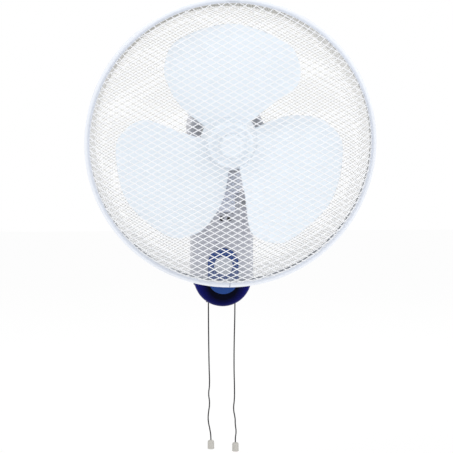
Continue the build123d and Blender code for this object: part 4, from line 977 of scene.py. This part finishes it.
    def spinner(self) -> None:
        """Domed spinner with finger grooves round its side."""
        back, front, radius = self.spinner_back, self.spinner_front, self.spinner_radius
        edge, round_off, bore = self.spinner_edge, self.spinner_round, self.spinner_bore
        profile = [(back, bore), (back, radius - edge), (back + edge, radius)]
        profile += [(back + ahead, radius) for ahead in self.spinner_rows]
        profile += arc((front - round_off, radius - round_off), round_off, 90, 0, 8)
        profile += [(front - depth, ring) for depth, ring in self.spinner_dish]
        profile += [(front - self.spinner_wall, ON_AXIS), (front - self.spinner_wall, bore)]
        points, faces = lathe(profile, 2 * TURN_STEPS)
        carved_to = front - round_off + self.groove_above
        carved = []
        for x, y, z in points:
            around = math.hypot(x, y)
            bite = 0.0
            if around > radius - self.groove_band and z <= carved_to:
                wave = max(0.0, math.cos(self.grooves * math.atan2(y, x)))
                fade = min(1.0, max(0.0, (carved_to - z) / self.groove_fade))
                bite = self.groove_depth * wave**3 * fade
            scale = (around - bite) / around
            carved.append((x * scale, y * scale, z))
        mesh = new_mesh("spinner_cap", carved, faces)
        smooth(mesh, degrees=40)
        add_piece("spinner_cap", mesh, BLADE, "rotor", ["spinner"], RING)


# ------------------------------------------------------------------ cords and knobs
@dataclass
class PullCord:
    """One pull cord with its knob."""

    name: str
    body: str
    route: tuple[Point, ...]
    length: float
    radius: float = 1.0
    exit_level: float = -0.0970
    knob_gap: float = 0.2
    knob_height: float = 15.0
    knob_foot: tuple = (
        (0.0, ON_AXIS), (0.0, 4.6), (0.3, 5.2), (0.8, 5.6), (1.6, 5.6), (2.0, 5.25)
    )
    knob_side: tuple = (2.4, 5.45)
    knob_taper: float = 0.02
    knob_rows: int = 9
    knob_crown: tuple = (
        (11.4, 5.4), (12.4, 5.3), (13.4, 4.9), (14.2, 4.1),
        (14.7, 3.0), (15.0, 1.6), (15.0, ON_AXIS),
    )
    flutes: int = 12
    flute_depth: float = 0.45
    flute_from: float = 2.2
    flute_to: float = 12.6
    flute_inside: float = 4.0

    def build(self) -> None:
        knob = self.knob()
        line = bpy.data.curves.new(self.name + "_cord_line", "CURVE")
        line.dimensions, line.resolution_u = "3D", 12
        line.bevel_depth, line.bevel_resolution = self.radius * MM, 3
        line.use_fill_caps = True
        spline = line.splines.new("NURBS")
        spline.points.add(len(self.route) - 1)
        for point, spot in zip(spline.points, self.route):
            point.co = (*(value * MM for value in spot), 1.0)
        spline.order_u, spline.use_endpoint_u = 3, True
        line.materials.append(CORD.material())
        piece = put_in_scene(line.name, line)
        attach(piece, self.body)
        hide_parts(self.name + "_cord")
        log.info("%s cord, %.1f mm", self.name, self.length)

    def knob(self) -> bpy.types.Object:
        """Fluted knob with a rounded crown and a bead at its foot.

        Returns:
            The knob's piece.
        """
        x, y, z = self.route[-1]
        foot = z - self.knob_gap - self.knob_height
        low, wide = self.knob_side
        side = [(low + row, wide - self.knob_taper * row) for row in range(self.knob_rows)]
        points, faces = lathe([*self.knob_foot, *side, *self.knob_crown], TURN_STEPS)
        shaped = []
        for px, py, height in points:
            around = math.hypot(px, py)
            wave = 0.5 - 0.5 * math.cos(self.flutes * math.atan2(py, px))
            fluted = self.flute_from < height < self.flute_to and around > self.flute_inside
            scale = (around - (self.flute_depth * wave if fluted else 0.0)) / around
            shaped.append((px * scale, py * scale, height))
        mesh = new_mesh(self.name + "_knob_fluted", shaped, faces)
        smooth(mesh)
        stance = Stance(Vector((x, y, foot)), ACROSS, Vector((0, 1, 0)), Vector((0, 0, 1)))
        return add_piece(mesh.name, mesh, KNOB, self.body, [self.name + "_knob"], stance)


SPEED = PullCord(
    "speed",
    "speed_pull",
    (
        (-22.0, -50.0, -70.0), (-22.0, -50.0, -117.0), (-21.6, -50.3, -165.0),
        (-20.9, -49.9, -208.0), (-19.9, -50.1, -236.0), (-22.2, -50.4, -251.0),
        (-19.6, -50.0, -266.5), (-22.6, -49.7, -286.0), (-22.5, -50.0, -297.0),
        (-19.6, -50.2, -311.0), (-18.0, -50.0, -321.0), (-18.0, -50.1, -328.0),
    ),
    258.7,
)
SWING = PullCord(
    "swing",
    "swing_pull",
    (
        (22.0, -50.0, -70.0), (22.0, -50.0, -117.0), (20.6, -50.3, -164.0),
        (20.4, -49.9, -211.0), (21.3, -50.1, -240.0), (21.2, -50.4, -261.0),
        (19.2, -50.0, -277.0), (22.6, -49.8, -293.0), (22.3, -50.1, -301.0),
        (24.3, -50.2, -315.0), (22.5, -50.0, -326.0), (22.8, -50.1, -332.5),
    ),
    263.0,
)


# ------------------------------------------------------------------ moulded and turned pieces
ASSEMBLIES = (
    Assembly(
        "base",
        {
            "wall_plate": 0.3, "base_rear_housing": 0.5, "base_front_cover": 0.5,
            "lower_cap": 0.5, "front_panel": 0.2, "badge_disc": 0.15, "cord_guides": 0.4,
            "mains_gland": 0.6, "plate_screw": 0.3, "switch_bracket": 0.3,
            "speed_switch_case": 0.4, "swing_switch_case": 0.4, "run_capacitor": 0.4,
            "terminal_block": 0.4,
        },
    ),
    Assembly(
        "support arm",
        {
            "support_arm": 0.5, "arm_screws": 0.2, "arm_nuts": 0.25, "tilt_bolt": 0.5,
            "tilt_washers": 0.25, "tilt_nut": 0.5,
        },
    ),
    Assembly("neck", {"neck_bracket": 0.6, "pivot_washer": 0.2}, {"neck_bracket": NECK_PAINTED_LIGHT}),
    Assembly(
        "motor",
        {
            "swing_housing": 0.5, "motor_front_housing": 0.5, "motor_rear_cover": 0.4,
            "motor_screws": 0.25, "guard_nut": 0.5, "swing_motor": 0.3,
        },
        {"swing_housing": NECK_PAINTED_LIGHT},
    ),
    Assembly("ring", {"guard_ring": 0.4, "ring_screw": 0.2, "ring_nut": 0.2, "top_clip": 0.25}),
)


# ------------------------------------------------------------------ studio
@dataclass
class Studio:
    """Camera, lamps, world and floor."""

    eye: Point = (-0.1700, -2.6605, 0.2099)
    heading: float = 3.90
    pitch: float = -4.0
    focal_px: float = 1592.6
    sensor: float = 36.0
    clip: tuple[float, float] = (0.05, 50.0)
    floor_level: float = -0.42
    floor_reach: float = 6.0
    floor_glow: float = 0.9
    ambient: float = 0.79
    aim: Point = (0.0, -0.15, 0.1)
    lamps: tuple = field(
        default=(
            ("key", (-1.6, -2.2, 2.3), 1.6, 30.5),
            ("fill", (1.9, -2.0, 0.6), 1.8, 14.0),
            ("back", (0.3, 1.6, 1.6), 1.6, 11.5),
        )
    )

    def build(self) -> None:
        """Sets the camera, the lamps, the world and the floor."""
        scene = bpy.context.scene
        scene.view_settings.view_transform = "Standard"
        self.camera()
        for name, spot, size, power in self.lamps:
            self.lamp(name, spot, size, power)
        self.world()
        self.floor()

    def camera(self) -> None:
        """The camera, at the photograph's angle."""
        eye = bpy.data.cameras.new("camera")
        eye.sensor_width = self.sensor
        eye.lens = self.focal_px * self.sensor / IMAGE_SIDE
        eye.clip_start, eye.clip_end = self.clip
        holder = put_in_scene("camera", eye)
        holder.location = self.eye
        holder.rotation_euler = (math.radians(90 + self.pitch), 0, math.radians(-self.heading))
        bpy.context.scene.camera = holder

    def lamp(self, name: str, spot: Point, size: float, power: float) -> None:
        """One soft square lamp that looks at the fan.

        Args:
            name: Its name.
            spot: Where it hangs, in metres.
            size: Length of its side.
            power: Its power in watts.
        """
        light = bpy.data.lights.new(name, "AREA")
        light.size, light.energy = size, power
        holder = put_in_scene(name, light)
        holder.location = spot
        heading = Vector(self.aim) - Vector(spot)
        holder.rotation_euler = heading.to_track_quat("-Z", "Y").to_euler()

    def _seen(self, graph: Graph) -> Wire:
        """One for rays that look straight, by reflection or through glass."""
        path = graph.tree.nodes.new("ShaderNodeLightPath")
        rays = [Wire(graph, path.outputs[name]) for name in ("Is Camera Ray", "Is Glossy Ray")]
        through = Wire(graph, path.outputs["Is Transmission Ray"])
        return graph.math("MINIMUM", rays[0] + rays[1] + through, 1.0)

    def world(self) -> None:
        """White behind the fan, with a plain even light on it."""
        world = bpy.data.worlds.new("room")
        world.use_nodes = True
        graph = Graph(world.node_tree)
        seen = self._seen(graph)
        strength = seen + (1 - seen) * self.ambient
        back = graph.node("ShaderNodeBackground", Color=(1.0, 1.0, 1.0, 1.0), Strength=strength)
        graph.node("ShaderNodeOutputWorld", Surface=back)
        bpy.context.scene.world = world

    def floor(self) -> None:
        """Pale floor that keeps a faint shadow."""
        mesh = bpy.data.meshes.new("floor")
        reach, level = self.floor_reach, self.floor_level
        corners = [(-reach, -reach), (reach, -reach), (reach, reach), (-reach, reach)]
        mesh.from_pydata([(x, y, level) for x, y in corners], [], [(0, 1, 2, 3)])
        paint = bpy.data.materials.new("floor_paint")
        paint.use_nodes = True
        graph = Graph(paint.node_tree)
        matt = graph.node("ShaderNodeBsdfDiffuse", Color=(1.0, 1.0, 1.0, 1.0))
        glow = graph.node("ShaderNodeEmission", Color=(1.0, 1.0, 1.0, 1.0), Strength=1.0)
        share = self._seen(graph) * self.floor_glow
        mixed = graph.node("ShaderNodeMixShader", s0=share, s1=matt, s2=glow)
        graph.node("ShaderNodeOutputMaterial", Surface=mixed)
        mesh.materials.append(paint)
        piece = put_in_scene("floor", mesh)


def dress_frame() -> None:
    """Gives every CAD node the finish of its slot, in place of the plain one it came with."""
    for plain in list(bpy.data.materials):
        bpy.data.materials.remove(plain)
    for name, node in frame["nodes"].items():
        node.data.materials.clear()
        node.data.materials.append(FINISHES[SLOT_OF[name]].material())


def main() -> None:
    """Builds the studio and every piece, in order."""
    logging.basicConfig(level=logging.INFO, format="%(name)s: %(message)s")
    dress_frame()
    Studio().build()
    for assembly in ASSEMBLIES:
        assembly.build()
    SPEED.build()
    SWING.build()
    Guards().build()
    Blade().build()


if __name__ == "__main__":
    main()
